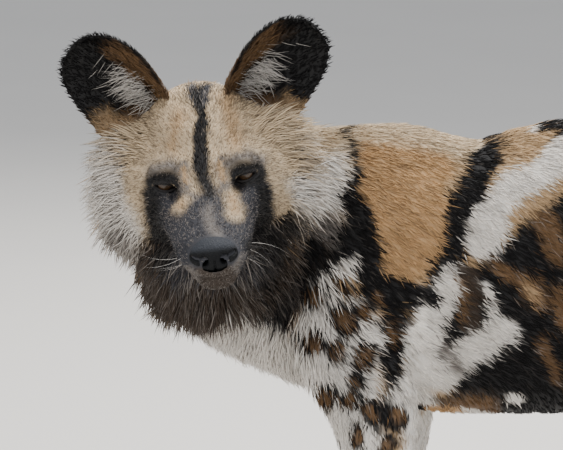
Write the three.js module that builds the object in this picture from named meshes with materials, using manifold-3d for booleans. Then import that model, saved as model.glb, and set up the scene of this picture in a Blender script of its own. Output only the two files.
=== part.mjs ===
// African wild dog, life size. It stands on four feet and looks round to its left.
// Millimetres, +Z up. The body faces -X, its left side is towards -Y, and the floor is z = 0.
// Every outline is the coat's, so the flesh lies a little inside it.
import * as THREE from "three";
import { mergeVertices } from "three/addons/utils/BufferGeometryUtils.js";
import Module from "manifold-3d";

const wasm = await Module();
wasm.setup();

// Driving dimensions
const WITHERS = 645; // floor to the top of the shoulders
const TRUNK_LENGTH = 650; // breast to rump
const CHEST_WIDTH = 190;
const HEAD_LENGTH = 215; // nose to the back of the skull
const EYES_APART = 76;
const EYE_RADIUS = 12;
const EAR_LENGTH = 104;
const EAR_WIDTH = 86;
const FORELEG_Y = 74; // half the track of the forefeet
const HINDLEG_Y = 70;
const TAIL_LENGTH = 380;
const GAP = 0.35; // between neighbouring pieces

// Where the head is, and how it is turned: yaw from facing -Y, nose down, and tilt to its right
const EYES_AT = new THREE.Vector3(-208, -218, 624);
const HEAD_FORWARD = new THREE.Vector3(0.13, -0.977, -0.171).normalize();
const HEAD_LEFT = new THREE.Vector3(0.986, 0.109, 0.128);

const COLOURS = {
  tan: 0xc9a36b,
  cream: 0xd9c9a8,
  black: 0x1d1b1d,
  white: 0xdedcd6,
  slate: 0x4a4a50,
  horn: 0x2b2724,
  amber: 0x5c3a1c,
};

const v3 = (x, y, z) => new THREE.Vector3(x, y, z);
const lerp = THREE.MathUtils.lerp;
const clamp = THREE.MathUtils.clamp;

// Signed distance fields: negative inside, near enough to millimetres close to the surface

const smoothMin = (a, b, k) => {
  const h = Math.max(k - Math.abs(a - b), 0) / k;
  return Math.min(a, b) - (h * h * k) / 4;
};
const join =
  (k, ...fields) =>
  (p) =>
    fields.reduce((d, field) => smoothMin(d, field(p), k), 1e6);
const ovalDistance = (x, y, z, a, b, c) => {
  const k0 = Math.hypot(x / a, y / b, z / c);
  const k1 = Math.hypot(x / (a * a), y / (b * b), z / (c * c));
  return k1 < 1e-9 ? -Math.min(a, b, c) : (k0 * (k0 - 1)) / k1;
};

// An ellipsoid, turned by degrees about X, Y and Z
function ball([x, y, z], [a, b, c], turn = [0, 0, 0]) {
  const angles = turn.map(THREE.MathUtils.degToRad);
  const place = new THREE.Matrix4().makeRotationFromEuler(new THREE.Euler(...angles));
  const inverse = place.setPosition(x, y, z).invert();
  const q = v3();
  return (p) => {
    q.copy(p).applyMatrix4(inverse);
    return ovalDistance(q.x, q.y, q.z, a, b, c);
  };
}

// A smooth tube of oval section through stations [x, y, z, half-width, half-depth].
// Depth is measured along the reference direction, and taper narrows the lower side.
function tube(stations, reference, taper = 0, steps = 3) {
  const line = new THREE.CatmullRomCurve3(stations.map((s) => v3(s[0], s[1], s[2])), false, "catmullrom");
  const sizes = new THREE.CatmullRomCurve3(stations.map((s) => v3(s[3], s[4], 0)), false, "catmullrom");
  const count = (stations.length - 1) * steps;
  const at = [...Array(count + 1).keys()].map((i) => {
    const centre = line.getPoint(i / count);
    const size = sizes.getPoint(i / count);
    const tangent = line.getTangent(i / count);
    const side = tangent.clone().cross(reference).normalize();
    return { centre, wide: size.x, deep: size.y, tangent, side, rise: side.clone().cross(tangent) };
  });
  const q = v3();
  const along = v3();
  return (p) => {
    let best = 1e6;
    for (let i = 0; i < count; i++) {
      const a = at[i];
      const b = at[i + 1];
      along.subVectors(b.centre, a.centre);
      q.subVectors(p, a.centre);
      const t = clamp(q.dot(along) / along.lengthSq(), 0, 1);
      q.addScaledVector(along, -t);
      const deep = lerp(a.deep, b.deep, t);
      const rise = lerp(q.dot(a.rise), q.dot(b.rise), t);
      const wide = lerp(a.wide, b.wide, t) * (1 + taper * clamp(rise / deep, -1, 1));
      const side = lerp(q.dot(a.side), q.dot(b.side), t);
      const end = lerp(q.dot(a.tangent), q.dot(b.tangent), t);
      best = Math.min(best, ovalDistance(side, rise, end, wide, deep, (wide + deep) / 2));
    }
    return best;
  };
}

const Z = v3(0, 0, 1);
const X = v3(1, 0, 0);
const DOWN = v3(0, 0, -1);

// Trunk, as [fraction of the trunk's length from the elbow line, back, belly, half-width]
const TRUNK_OUTLINE = [
  [-0.165, 0.93, 0.67, 0.25],
  [-0.13, 0.965, 0.6, 0.37],
  [-0.07, 0.995, 0.567, 0.43],
  [0, 0.992, 0.545, 0.47],
  [0.08, 0.99, 0.543, 0.5],
  [0.2, 1.02, 0.548, 0.51],
  [0.34, 1.04, 0.585, 0.49],
  [0.48, 1.035, 0.645, 0.44],
  [0.6, 1.015, 0.7, 0.41],
  [0.71, 0.98, 0.75, 0.36],
  [0.79, 0.93, 0.8, 0.26],
];
const trunkStations = TRUNK_OUTLINE.map(([along, back, belly, half]) => [
  along * TRUNK_LENGTH,
  0,
  ((back + belly) / 2) * WITHERS,
  half * CHEST_WIDTH,
  ((back - belly) / 2) * WITHERS,
]);
const trunk = tube(trunkStations, Z, 0.12);

// Neck, curving round from the shoulders to the back of the skull
const NECK_STATIONS = [
  [-55, 0, 512, 76, 132],
  [-122, -4, 518, 75, 126],
  [-176, -28, 533, 75, 112],
  [-210, -68, 558, 74, 96],
  [-221, -112, 590, 70, 78],
];
const neck = tube(NECK_STATIONS, Z);

// Head, in its own frame: x forward from the eyes, y to its left, z up
const headUp = HEAD_FORWARD.clone().cross(HEAD_LEFT).normalize();
const headLeft = headUp.clone().cross(HEAD_FORWARD);
const headFrame = new THREE.Matrix4().makeBasis(HEAD_FORWARD, headLeft, headUp).setPosition(EYES_AT);
const headInverse = headFrame.clone().invert();
const EYE_Y = EYES_APART / 2;
const SKULL_BACK = -0.56 * HEAD_LENGTH;

const cranium = ball([-68, 0, 8], [66, 60, 62]);
const forehead = ball([-24, 0, 4], [38, 47, 26], [0, 8, 0]);
const MUZZLE_STATIONS = [
  [-20, 0, -26, 52, 38],
  [8, 0, -31, 48, 34],
  [38, 0, -38, 42, 29],
  [66, 0, -44, 38, 25],
  [82, 0, -47, 33, 20],
];
const muzzle = tube(MUZZLE_STATIONS, Z);
const JAW_STATIONS = [
  [-40, 0, -62, 46, 24],
  [0, 0, -70, 35, 18],
  [40, 0, -74, 26, 13],
  [76, 0, -74, 17, 9],
];
const jaw = tube(JAW_STATIONS, Z);
const pair = (make) => [make(1), make(-1)];
const cheeks = pair((s) => ball([-42, s * 48, -22], [46, 34, 44]));
const brows = pair((s) => ball([-6, s * 35, 15], [13, 20, 8], [s * -14, 0, 0]));
const lidMounds = pair((s) => ball([-9, s * EYE_Y, -1], [15.5, 17.5, 15]));
const skullField = join(14, cranium, forehead, muzzle, jaw, ...cheeks);
const headCore = join(6, skullField, ...brows, ...lidMounds);

// The dense underside of the ruff, half way out to the tips of its locks
const ruffCore = pair((s) => ball([-62, s * 62, -22], [40, 30, 54], [s * 10, 0, 0]));
const throatCore = ball([-56, 0, -68], [38, 54, 38]);
const headField = join(16, headCore, ...ruffCore, throatCore);
const localPoint = v3();
const headInWorld = (field) => (p) => field(localPoint.copy(p).applyMatrix4(headInverse));
const bodyField = join(40, trunk, neck);
const neckField = join(30, bodyField, headInWorld(headField));

// Forelegs and hind legs of the left side, [x, half-track share, z, half-width, fore-and-aft half-depth]
const FORELEG = [
  [-48, 0.86, 545, 20, 38],
  [-72, 0.96, 500, 27, 50],
  [-82, 1.04, 440, 32, 54],
  [-60, 1.06, 385, 33, 52],
  [-54, 1.04, 337, 29, 42],
  [-55, 1.01, 270, 22, 30],
  [-58, 0.98, 205, 19, 23],
  [-60, 0.97, 160, 20, 22],
  [-62, 0.96, 105, 18, 18],
  [-68, 0.96, 58, 20, 22],
];
const HINDLEG = [
  [425, 0.8, 560, 26, 48],
  [408, 0.95, 510, 38, 78],
  [388, 1.04, 440, 40, 72],
  [390, 1.08, 380, 33, 50],
  [425, 1.06, 305, 24, 33],
  [470, 1.02, 240, 17, 22],
  [492, 1.0, 200, 16, 20],
  [489, 0.98, 145, 15, 16],
  [482, 0.97, 95, 16, 16],
  [474, 0.97, 55, 19, 20],
];
const LEGS = {
  foreleg_left: { stations: FORELEG, track: -FORELEG_Y, shift: 0, knee: 205 },
  foreleg_right: { stations: FORELEG, track: FORELEG_Y, shift: 10, knee: 205 },
  hindleg_left: { stations: HINDLEG, track: -HINDLEG_Y, shift: 0, knee: 258 },
  hindleg_right: { stations: HINDLEG, track: HINDLEG_Y, shift: -26, knee: 258 },
};
const legStations = ({ stations, track, shift }) =>
  stations.map(([x, share, z, wide, deep]) => [x + shift, share * track, z, wide, deep]);

// Tail, hanging
const TAIL_ROOT_Z = 0.9 * WITHERS;
const TAIL = [
  [505, 0, 0, 25, 25],
  [545, 0, 0.1, 20, 20],
  [578, 0, 0.26, 18, 18],
  [594, 1, 0.45, 21, 21],
  [600, 2, 0.66, 23, 23],
  [598, 3, 0.83, 17, 17],
  [594, 3, 0.93, 7, 7],
];
const tailStations = TAIL.map(([x, y, drop, wide, deep]) => {
  const z = TAIL_ROOT_Z - drop * TAIL_LENGTH;
  return [x, y, z, wide, deep];
});
const tailField = tube(tailStations, X);

// Solids

function solidOf(geometry) {
  const bare = new THREE.BufferGeometry();
  bare.setAttribute("position", geometry.getAttribute("position"));
  bare.setIndex(geometry.index);
  const merged = mergeVertices(bare, 1e-4);
  const index = merged.index.array;
  const kept = [];
  for (let i = 0; i < index.length; i += 3) {
    const [a, b, c] = index.slice(i, i + 3);
    if (a !== b && b !== c && a !== c) kept.push(a, b, c);
  }
  const make = (triangles) =>
    new wasm.Manifold(
      new wasm.Mesh({
        numProp: 3,
        vertProperties: new Float32Array(merged.attributes.position.array),
        triVerts: new Uint32Array(triangles),
      }),
    );
  const made = make(kept);
  return made.volume() > 0 ? made : make(kept.reverse());
}

// A closed skin over rings of points, with a single point at each end
function skinOver(rings, first, last) {
  const sides = rings[0].length;
  const points = [first, ...rings.flat(), last];
  const index = [];
  const at = (ring, side) => 1 + ring * sides + (side % sides);
  for (let s = 0; s < sides; s++) {
    index.push(0, at(0, s + 1), at(0, s));
    index.push(points.length - 1, at(rings.length - 1, s), at(rings.length - 1, s + 1));
    for (let r = 0; r + 1 < rings.length; r++) {
      index.push(at(r, s), at(r, s + 1), at(r + 1, s + 1), at(r, s), at(r + 1, s + 1), at(r + 1, s));
    }
  }
  const geometry = new THREE.BufferGeometry().setFromPoints(points);
  geometry.setIndex(index);
  return geometry;
}

// How far from a point, along a direction, the field's surface is
function reachSurface(field, from, direction, grow, reach) {
  const p = v3();
  const value = (t) => field(p.copy(from).addScaledVector(direction, t)) - grow;
  let near = 0;
  let far = 0;
  while (far < reach && value(far) < 0) {
    near = far;
    far += reach / 40;
  }
  if (far >= reach) return reach;
  for (let i = 0; i < 14; i++) {
    const mid = (near + far) / 2;
    if (value(mid) < 0) near = mid;
    else far = mid;
  }
  return (near + far) / 2;
}

// Wraps a field with a skin of rings round an axis, which fans over at both ends
function wrap({ axis, reference, field, rings, sides, capRings = 4, reach, grow = 0 }) {
  const line = new THREE.CatmullRomCurve3(axis.map((a) => v3(a[0], a[1], a[2])), false, "catmullrom");
  const push = (from, direction) =>
    from.clone().addScaledVector(direction, reachSurface(field, from, direction, grow, reach));
  const ringAt = (t, lean) => {
    const from = line.getPoint(t);
    const tangent = line.getTangent(t);
    const side = tangent.clone().cross(reference).normalize();
    const rise = side.clone().cross(tangent);
    return [...Array(sides).keys()].map((s) => {
      const angle = (2 * Math.PI * s) / sides;
      const out = side.clone().multiplyScalar(Math.cos(angle)).addScaledVector(rise, Math.sin(angle));
      out.multiplyScalar(Math.cos(lean)).addScaledVector(tangent, Math.sin(lean));
      return push(from, out.normalize());
    });
  };
  const made = [];
  for (let i = 1; i <= capRings; i++) made.push(ringAt(0, (-Math.PI / 2) * (1 - i / (capRings + 1))));
  for (let i = 0; i <= rings; i++) made.push(ringAt(i / rings, 0));
  for (let i = 1; i <= capRings; i++) made.push(ringAt(1, (Math.PI / 2) * (i / (capRings + 1))));
  const first = push(line.getPoint(0), line.getTangent(0).negate());
  const last = push(line.getPoint(1), line.getTangent(1));
  return solidOf(skinOver(made, first, last));
}

const moved = (solid, matrix) => solid.transform(matrix.elements.slice());
const largest = (solid) =>
  solid
    .decompose()
    .sort((a, b) => b.volume() - a.volume())
    .at(0);
const keepSide = (solid, normal, point, gap = 0) => {
  const n = normal.clone().normalize();
  return solid.trimByPlane([n.x, n.y, n.z], n.dot(point) + gap);
};
function ballSolid([x, y, z], [a, b, c], segments) {
  const sphere = new THREE.SphereGeometry(1, segments, Math.round(segments * 0.7));
  return solidOf(sphere.scale(a, b, c).translate(x, y, z));
}

const makeMaterial = ([name, color]) => {
  const roughness = name === "amber" ? 0.15 : 0.85;
  return [name, new THREE.MeshStandardMaterial({ name, color, roughness, metalness: 0 })];
};
const materials = Object.fromEntries(Object.entries(COLOURS).map(makeMaterial));
const dog = new THREE.Group();
function addNode(name, solid, material) {
  const { vertProperties, triVerts, numProp } = solid.getMesh();
  const geometry = new THREE.BufferGeometry();
  const count = vertProperties.length / numProp;
  const positions = new Float32Array(count * 3);
  for (let i = 0; i < count; i++) {
    const from = i * numProp;
    positions.set(vertProperties.subarray(from, from + 3), i * 3);
  }
  geometry.setAttribute("position", new THREE.BufferAttribute(positions, 3));
  geometry.setIndex([...triVerts]);
  const mesh = new THREE.Mesh(geometry, materials[material]);
  mesh.name = name;
  dog.add(mesh);
}

// Locks of long hair, each flat and tapered, with its root sunk in the coat's core

const seeded = (seed) => () => {
  seed = (seed * 1664525 + 1013904223) % 4294967296;
  return seed / 4294967296;
};
const random = seeded(11);
const vary = (share) => 1 + share * (2 * random() - 1);

// [share of the length along the lie, height over the root as a share of the length, width share]
const LOCK_STATIONS = [
  [-0.12, -0.16, 0.8],
  [0.3, 0.09, 1],
  [0.68, 0.17, 0.66],
];
const LOCK_TIP = [1, 0.16];
function lockSolid({ root, out, lie, length, width, thick, lift }, margin = 0) {
  const side = lie.clone().cross(out).normalize();
  const at = (along, height) =>
    root.clone().addScaledVector(lie, along * length).addScaledVector(out, height * lift * length);
  const rings = LOCK_STATIONS.map(([along, height, share]) => {
    const centre = at(along, height);
    const across = (share * width) / 2 + 4 * margin;
    const ridge = 0.6 * share * thick + 1.7 * margin;
    const under = 0.3 * share * thick + margin;
    return [
      centre.clone().addScaledVector(side, across).addScaledVector(out, -under),
      centre.clone().addScaledVector(out, ridge),
      centre.clone().addScaledVector(side, -across).addScaledVector(out, -under),
    ];
  });
  const first = at(LOCK_STATIONS[0][0], LOCK_STATIONS[0][1]).addScaledVector(lie, -1 - margin);
  const tip = at(...LOCK_TIP).addScaledVector(out, -0.1 * thick).addScaledVector(lie, 3 * margin);
  return solidOf(skinOver(rings, first, tip));
}

// A lock at the place where a direction from inside meets the field, lying along flow
function lockOn(field, from, direction, flow, { length, width, thick, lift = 1, spread = 0.12 }) {
  const d = direction.clone().normalize();
  const root = from.clone().addScaledVector(d, reachSurface(field, from, d, 0, 160));
  const step = 1.5;
  const beside = (axis, offset) => field(root.clone().addScaledVector(axis, offset));
  const slope = (axis) => beside(axis, step) - beside(axis, -step);
  const out = v3(slope(X), slope(v3(0, 1, 0)), slope(Z)).normalize();
  const lie = flow.clone().addScaledVector(out, -flow.dot(out)).normalize();
  lie.addScaledVector(lie.clone().cross(out), spread * (2 * random() - 1)).normalize();
  return {
    root,
    out,
    lie,
    length: length * vary(0.12),
    width: width * vary(0.12),
    thick,
    lift: lift * vary(0.2),
  };
}
const fuse = (solid, locks) => largest(wasm.Manifold.union([solid, ...locks.map((one) => lockSolid(one))]));
const cutClear = (solid, locks) =>
  wasm.Manifold.difference([solid, ...locks.map((one) => lockSolid(one, 1.5 * GAP))]);
const steps = (low, high, count) => [...Array(count).keys()].map((i) => lerp(low, high, i / (count - 1)));
const axisThrough = (stations) =>
  new THREE.CatmullRomCurve3(stations.map((s) => v3(s[0], s[1], s[2])), false, "catmullrom");

// Cheeks: rows of locks from the jaw's corner up to the ear, lying back, out and down
const RUFF_LOCK = { length: 48, width: 33, thick: 9, lift: 1.5 };
const cheekLocks = [1, -1].flatMap((s) =>
  steps(-34, -84, 3).flatMap((forward, row) =>
    steps(-60, 30, 5).map((degrees) => {
      const angle = THREE.MathUtils.degToRad(degrees + 11 * (row % 2));
      const direction = v3(0, s * Math.cos(angle), Math.sin(angle));
      const flow = v3(-0.5, s * 0.75, -0.5 + 0.5 * Math.sin(angle));
      return lockOn(headField, v3(forward, 0, -18), direction, flow, RUFF_LOCK);
    }),
  ),
);

// Throat: locks hanging down and back
const THROAT_LOCK = { length: 46, width: 34, thick: 9, lift: 1.4 };
const throatLocks = steps(-26, -78, 3).flatMap((forward, row) =>
  steps(-142, -38, 4).map((degrees) => {
    const angle = THREE.MathUtils.degToRad(degrees + 9 * (row % 2));
    const direction = v3(0, Math.cos(angle), Math.sin(angle));
    const flow = v3(-0.6, 0.5 * Math.cos(angle), -0.7);
    return lockOn(headField, v3(forward, 0, -40), direction, flow, THROAT_LOCK);
  }),
);

// Front and sides of the neck
const NECK_LOCK = { length: 54, width: 36, thick: 9, lift: 1 };
const neckLine = axisThrough(NECK_STATIONS);
const neckLocks = steps(0.4, 0.86, 4).flatMap((t, row) =>
  steps(-174, -62, 5).map((degrees) => {
    const angle = THREE.MathUtils.degToRad(degrees + 10 * (row % 2));
    const side = neckLine.getTangent(t).cross(Z).normalize();
    const direction = side.multiplyScalar(-Math.cos(angle)).addScaledVector(Z, Math.sin(angle));
    const flow = neckLine.getTangent(t).negate().addScaledVector(Z, -0.7);
    return lockOn(neckField, neckLine.getPoint(t), direction, flow, NECK_LOCK);
  }),
);

// Brush of the tail, in rings down its length
const TAIL_LOCK = { length: 84, width: 31, thick: 8, lift: 1.05 };
const tailLine = axisThrough(tailStations);
const tailLocks = steps(0.22, 0.86, 6).flatMap((t, row) =>
  steps(0, 288, 5).map((degrees) => {
    const angle = THREE.MathUtils.degToRad(degrees + 36 * (row % 2));
    const tangent = tailLine.getTangent(t);
    const side = tangent.clone().cross(X).normalize();
    const across = side.clone().cross(tangent);
    const direction = side.multiplyScalar(Math.cos(angle)).addScaledVector(across, Math.sin(angle));
    return lockOn(tailField, tailLine.getPoint(t), direction, tangent, TAIL_LOCK);
  }),
);

// Torso and neck, parted by a slanting plane at the base of the neck
const NECK_CUT_AT = v3(-105, 0, 525);
const NECK_CUT_NORMAL = v3(-0.94, 0, 0.34);
const torsoShape = (grow) =>
  wrap({
    axis: [
      [-85, 0, 500],
      [30, 0, 498],
      [170, 0, 515],
      [330, 0, 545],
      [475, 0, 560],
    ],
    reference: Z,
    field: bodyField,
    rings: 18,
    sides: 22,
    reach: 220,
    grow,
  });
const torsoGrown = torsoShape(GAP);
const torso = keepSide(torsoShape(0), NECK_CUT_NORMAL.clone().negate(), NECK_CUT_AT, GAP / 2);

const HEAD_CUT_AT = v3(SKULL_BACK * 0.74, 0, 0).applyMatrix4(headFrame);
const neckWhole = wrap({
  axis: NECK_STATIONS.map((s) => s.slice(0, 3)),
  reference: Z,
  field: neckField,
  rings: 12,
  sides: 24,
  reach: 190,
});
// Ears: cups, [distance from the root, inner edge, outer edge, depth of the cup]
const EAR_OUTLINE = [
  [-0.2, -0.2, 0.26, 0.3],
  [-0.03, -0.4, 0.52, 0.36],
  [0.14, -0.47, 0.59, 0.33],
  [0.3, -0.5, 0.57, 0.27],
  [0.48, -0.5, 0.56, 0.22],
  [0.65, -0.44, 0.52, 0.16],
  [0.79, -0.32, 0.41, 0.11],
  [0.87, -0.17, 0.24, 0.07],
];
const EAR_THICKNESS = 3.6;
const EAR_COLUMNS = 9;
function earSolid({ root, along, outward }) {
  const a = v3(...along).normalize();
  const w = v3(...outward);
  w.addScaledVector(a, -w.dot(a)).normalize();
  const open = w.clone().cross(a);
  if (open.x < 0) open.negate();
  const surface = (row, column) => {
    const [up, inner, outer, depth] = EAR_OUTLINE[row];
    const t = (2 * column) / EAR_COLUMNS - 1;
    const across = lerp(inner, outer, (t + 1) / 2) * EAR_WIDTH;
    const bowl = (Math.abs(t) ** 2.2 - 1) * depth * EAR_WIDTH;
    const point = v3(...root).addScaledVector(a, up * EAR_LENGTH);
    return point.addScaledVector(w, across).addScaledVector(open, bowl);
  };
  const last = EAR_OUTLINE.length - 1;
  const normalAt = (row, column) => {
    const down = surface(Math.max(row - 1, 0), column);
    const up = surface(Math.min(row + 1, last), column);
    const left = surface(row, Math.max(column - 1, 0));
    const right = surface(row, Math.min(column + 1, EAR_COLUMNS));
    const n = up.sub(down).cross(right.sub(left)).normalize();
    return n.dot(open) < 0 ? n.negate() : n;
  };
  const rings = EAR_OUTLINE.map((_, row) => {
    const front = [...Array(EAR_COLUMNS + 1).keys()].map((c) => surface(row, c));
    const back = front.map((p, c) => p.clone().addScaledVector(normalAt(row, c), -EAR_THICKNESS));
    return [...front, ...back.reverse()];
  });
  const middle = (ring) => ring.reduce((sum, p) => sum.add(p), v3()).divideScalar(ring.length);
  return solidOf(skinOver(rings, middle(rings[0]), middle(rings[last])));
}
const EARS = {
  ear_right: { root: [-70, -52, 46], along: [-0.16, -0.557, 0.83], outward: [-0.42, -0.83, -0.557] },
  ear_left: { root: [-70, 54, 44], along: [-0.16, 0.68, 0.74], outward: [-0.42, 0.74, -0.68] },
};

// Head, parted from the neck behind the ears, with openings for the eyes, nose and mouth
const localNeckField = (p) => neck(v3(p.x, p.y, p.z).applyMatrix4(headFrame));
const headWithNeck = join(30, headField, localNeckField);
const headShape = (grow) =>
  wrap({
    axis: [
      [-100, 0, -22],
      [-60, 0, -20],
      [-20, 0, -28],
      [20, 0, -40],
      [70, 0, -50],
    ],
    reference: Z,
    field: headWithNeck,
    rings: 21,
    sides: 34,
    reach: 150,
    grow,
  });
const eyeAt = (s) => [-9, s * EYE_Y, -1];

// The opening between the lids, from the eye forwards
const LID_OPENING = { wide: 11, high: 5.2, tilt: 0.3, sides: 14 };
function lidOpening(s) {
  const { wide, high, tilt, sides } = LID_OPENING;
  const ring = (x, size) =>
    [...Array(sides).keys()].map((i) => {
      const angle = (2 * Math.PI * i) / sides;
      const across = wide * size * Math.cos(angle);
      const up = high * size * Math.sin(angle) * Math.abs(Math.sin(angle)) ** 0.35 - 1.5;
      return v3(x - 0.22 * Math.abs(across), s * (EYE_Y + across), up + tilt * across);
    });
  const rings = [ring(-14, 0.75), ring(0, 0.95), ring(6, 1.1), ring(20, 1.6)];
  return solidOf(skinOver(rings, v3(-14, s * EYE_Y, -1.5), v3(20, s * EYE_Y, -1.5)));
}

// The side view of the lower jaw, which the lips part from the head
const JAW_PROFILE = [
  [140, -66.5],
  [92, -66.5],
  [70, -65],
  [40, -64.5],
  [8, -61],
  [-6, -70],
  [-12, -100],
  [-6, -150],
  [140, -150],
];
function jawKnife(grow) {
  const shape = new THREE.Shape(JAW_PROFILE.map(([x, z]) => new THREE.Vector2(x, z)));
  const depth = 160;
  const block = new THREE.ExtrudeGeometry(shape, { depth, bevelEnabled: false });
  block.rotateX(Math.PI / 2).translate(-grow, depth / 2, grow);
  return solidOf(block);
}

// Nose pad with a nostril each side
const NOSE = { at: [94, 0, -43], size: [13, 23, 15] };
const noseCore = (grow) =>
  ballSolid(
    NOSE.at,
    NOSE.size.map((r) => r + grow),
    12,
  );
const nostrils = [1, -1].map((s) =>
  ballSolid([105, s * 9.5, -44], [10, 4.2, 5.5], 8).add(ballSolid([99, s * 17, -40], [9, 6, 2.4], 6)),
);

const headCutAt = v3(SKULL_BACK * 0.74, 0, 0);
const headGrown = headShape(GAP);
const headTrimmed = keepSide(headShape(0), X, headCutAt, GAP / 2).subtract(noseCore(GAP));
const headLocks = [...cheekLocks, ...throatLocks];
const jawSolid = largest(headTrimmed.intersect(jawKnife(0)));
let head = headTrimmed.subtract(jawKnife(GAP));
for (const s of [1, -1]) {
  const socket = ballSolid(eyeAt(s), Array(3).fill(EYE_RADIUS + GAP + 0.3), 12);
  head = head.subtract(socket).subtract(lidOpening(s));
  const eye = ballSolid(eyeAt(s), Array(3).fill(EYE_RADIUS), 12);
  addNode(s > 0 ? "eye_left" : "eye_right", moved(eye, headFrame), "amber");
}
const noseSolid = nostrils.reduce((solid, hole) => solid.subtract(hole), noseCore(0));
head = fuse(largest(head), headLocks).subtract(jawKnife(GAP));
addNode("head", moved(largest(head), headFrame), "cream");
addNode("lower_jaw", moved(jawSolid, headFrame), "slate");
addNode("nose", moved(largest(noseSolid), headFrame), "black");
for (const [name, ear] of Object.entries(EARS)) {
  const cup = cutClear(earSolid(ear).subtract(headGrown), cheekLocks);
  addNode(name, moved(largest(cup), headFrame), "black");
}

// Legs: the limb outside the trunk, parted above the wrist or the hock and again above the paw
const neckGrown = wrap({
  axis: NECK_STATIONS.map((s) => s.slice(0, 3)),
  reference: Z,
  field: neckField,
  rings: 12,
  sides: 24,
  reach: 190,
  grow: 3 * GAP,
});
const bodyGrown = keepSide(torsoGrown, NECK_CUT_NORMAL.clone().negate(), NECK_CUT_AT, -1).add(
  keepSide(neckGrown, NECK_CUT_NORMAL, NECK_CUT_AT, -1),
);
const PAW_TOP = 52;
const LEG_SPREAD = 12; // how far a leg's flesh runs out over the trunk

// One paw about its own middle, toes towards -X
const PAW = {
  foreleg: { x: -68, palm: [33, 29, 30], toe: [22, 12.5, 15.5], spread: 11.6 },
  hindleg: { x: 470, palm: [31, 26, 28], toe: [21, 11.5, 14.5], spread: 10.8 },
};
const TOES = [
  [-24, -2.35, 0.9],
  [-37, -0.95, 1],
  [-37, 0.95, 1],
  [-24, 2.35, 0.9],
];
function toeSolid(paw, [x, side, size], centre, y, grow = 0) {
  const [a, b, c] = paw.toe.map((r) => r * size + grow);
  return ballSolid([centre + x, y + side * paw.spread, c - 1.6], [a, b, c], 7);
}
function clawSolid(paw, [x, side, size], centre, y) {
  const tip = centre + x - paw.toe[0] * size;
  const stations = [
    [tip + 9, 13.5, 3.4],
    [tip - 4, 10, 2.6],
  ];
  const sides = 5;
  const rings = stations.map(([sx, sz, r]) =>
    [...Array(sides).keys()].map((i) => {
      const angle = (2 * Math.PI * i) / sides;
      return v3(sx, y + side * paw.spread + 0.8 * r * Math.cos(angle), sz + r * Math.sin(angle));
    }),
  );
  const end = v3(tip - 12, y + side * paw.spread, 3.4);
  return solidOf(skinOver(rings, v3(tip + 10, y + side * paw.spread, 13.5), end));
}

for (const [name, leg] of Object.entries(LEGS)) {
  const stations = legStations(leg);
  const [kind, side] = name.split("_");
  const paw = PAW[kind];
  const centre = paw.x + leg.shift;
  const y = stations.at(-1)[1];
  const own = tube(stations, X);
  const blended = join(24, own, bodyField);
  const upperWrap = wrap({
    axis: stations.filter((s) => s[2] > leg.knee - 60).map((s) => s.slice(0, 3)),
    reference: X,
    field: (p) => Math.max(blended(p), own(p) - LEG_SPREAD),
    rings: 10,
    sides: 16,
    capRings: 3,
    reach: 110,
  });
  const lowerWrap = wrap({
    axis: stations.filter((s) => s[2] < leg.knee + 70).map((s) => s.slice(0, 3)),
    reference: X,
    field: own,
    rings: 10,
    sides: 10,
    capRings: 2,
    reach: 60,
  });
  const knee = v3(0, 0, leg.knee);
  const pawTop = v3(0, 0, PAW_TOP);
  const upper = keepSide(upperWrap, Z, knee, GAP / 2).subtract(bodyGrown);
  addNode(`${kind}_upper_${side}`, largest(kind === "foreleg" ? cutClear(upper, neckLocks) : upper), "tan");
  const shank = keepSide(lowerWrap, DOWN, knee, GAP / 2);
  addNode(`${kind}_lower_${side}`, largest(keepSide(shank, Z, pawTop, GAP / 2)), "white");

  let foot = shank;
  foot = foot.add(ballSolid([centre - 8, y, 25], paw.palm, 9));
  for (const toe of TOES) foot = foot.add(toeSolid(paw, toe, centre, y));
  for (const [i, toe] of TOES.entries()) {
    const claw = clawSolid(paw, toe, centre, y).subtract(toeSolid(paw, toe, centre, y, GAP));
    addNode(`claw_${kind}_${side}_${i + 1}`, largest(claw), "horn");
  }
  foot = keepSide(keepSide(foot, Z, v3(0, 0, 0)), DOWN, pawTop, GAP / 2);
  addNode(`${kind === "foreleg" ? "forepaw" : "hindpaw"}_${side}`, largest(foot), "white");
}

const tailShape = wrap({
  axis: tailStations.map((s) => s.slice(0, 3)),
  reference: X,
  field: tailField,
  rings: 16,
  sides: 12,
  reach: 60,
});
const turned = (one) => ({
  ...one,
  root: one.root.clone().applyMatrix4(headFrame),
  out: one.out.clone().transformDirection(headFrame),
  lie: one.lie.clone().transformDirection(headFrame),
});
const neckMane = cutClear(fuse(neckWhole, neckLocks), headLocks.map(turned));
const neckFront = keepSide(neckMane, NECK_CUT_NORMAL, NECK_CUT_AT, GAP / 2);
addNode("neck", largest(keepSide(neckFront, HEAD_FORWARD.clone().negate(), HEAD_CUT_AT, GAP / 2)), "cream");
addNode("torso", torso, "tan");
addNode("tail", largest(fuse(tailShape, tailLocks).subtract(torsoGrown)), "white");

// The origin is under the middle of the whole animal, on the floor
const bounds = new THREE.Box3().setFromObject(dog);
const middle = bounds.getCenter(v3());
dog.position.set(-middle.x, -middle.y, -bounds.min.z);

export default dog;
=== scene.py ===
"""An african wild dog, life-size and standing still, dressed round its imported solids."""

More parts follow.
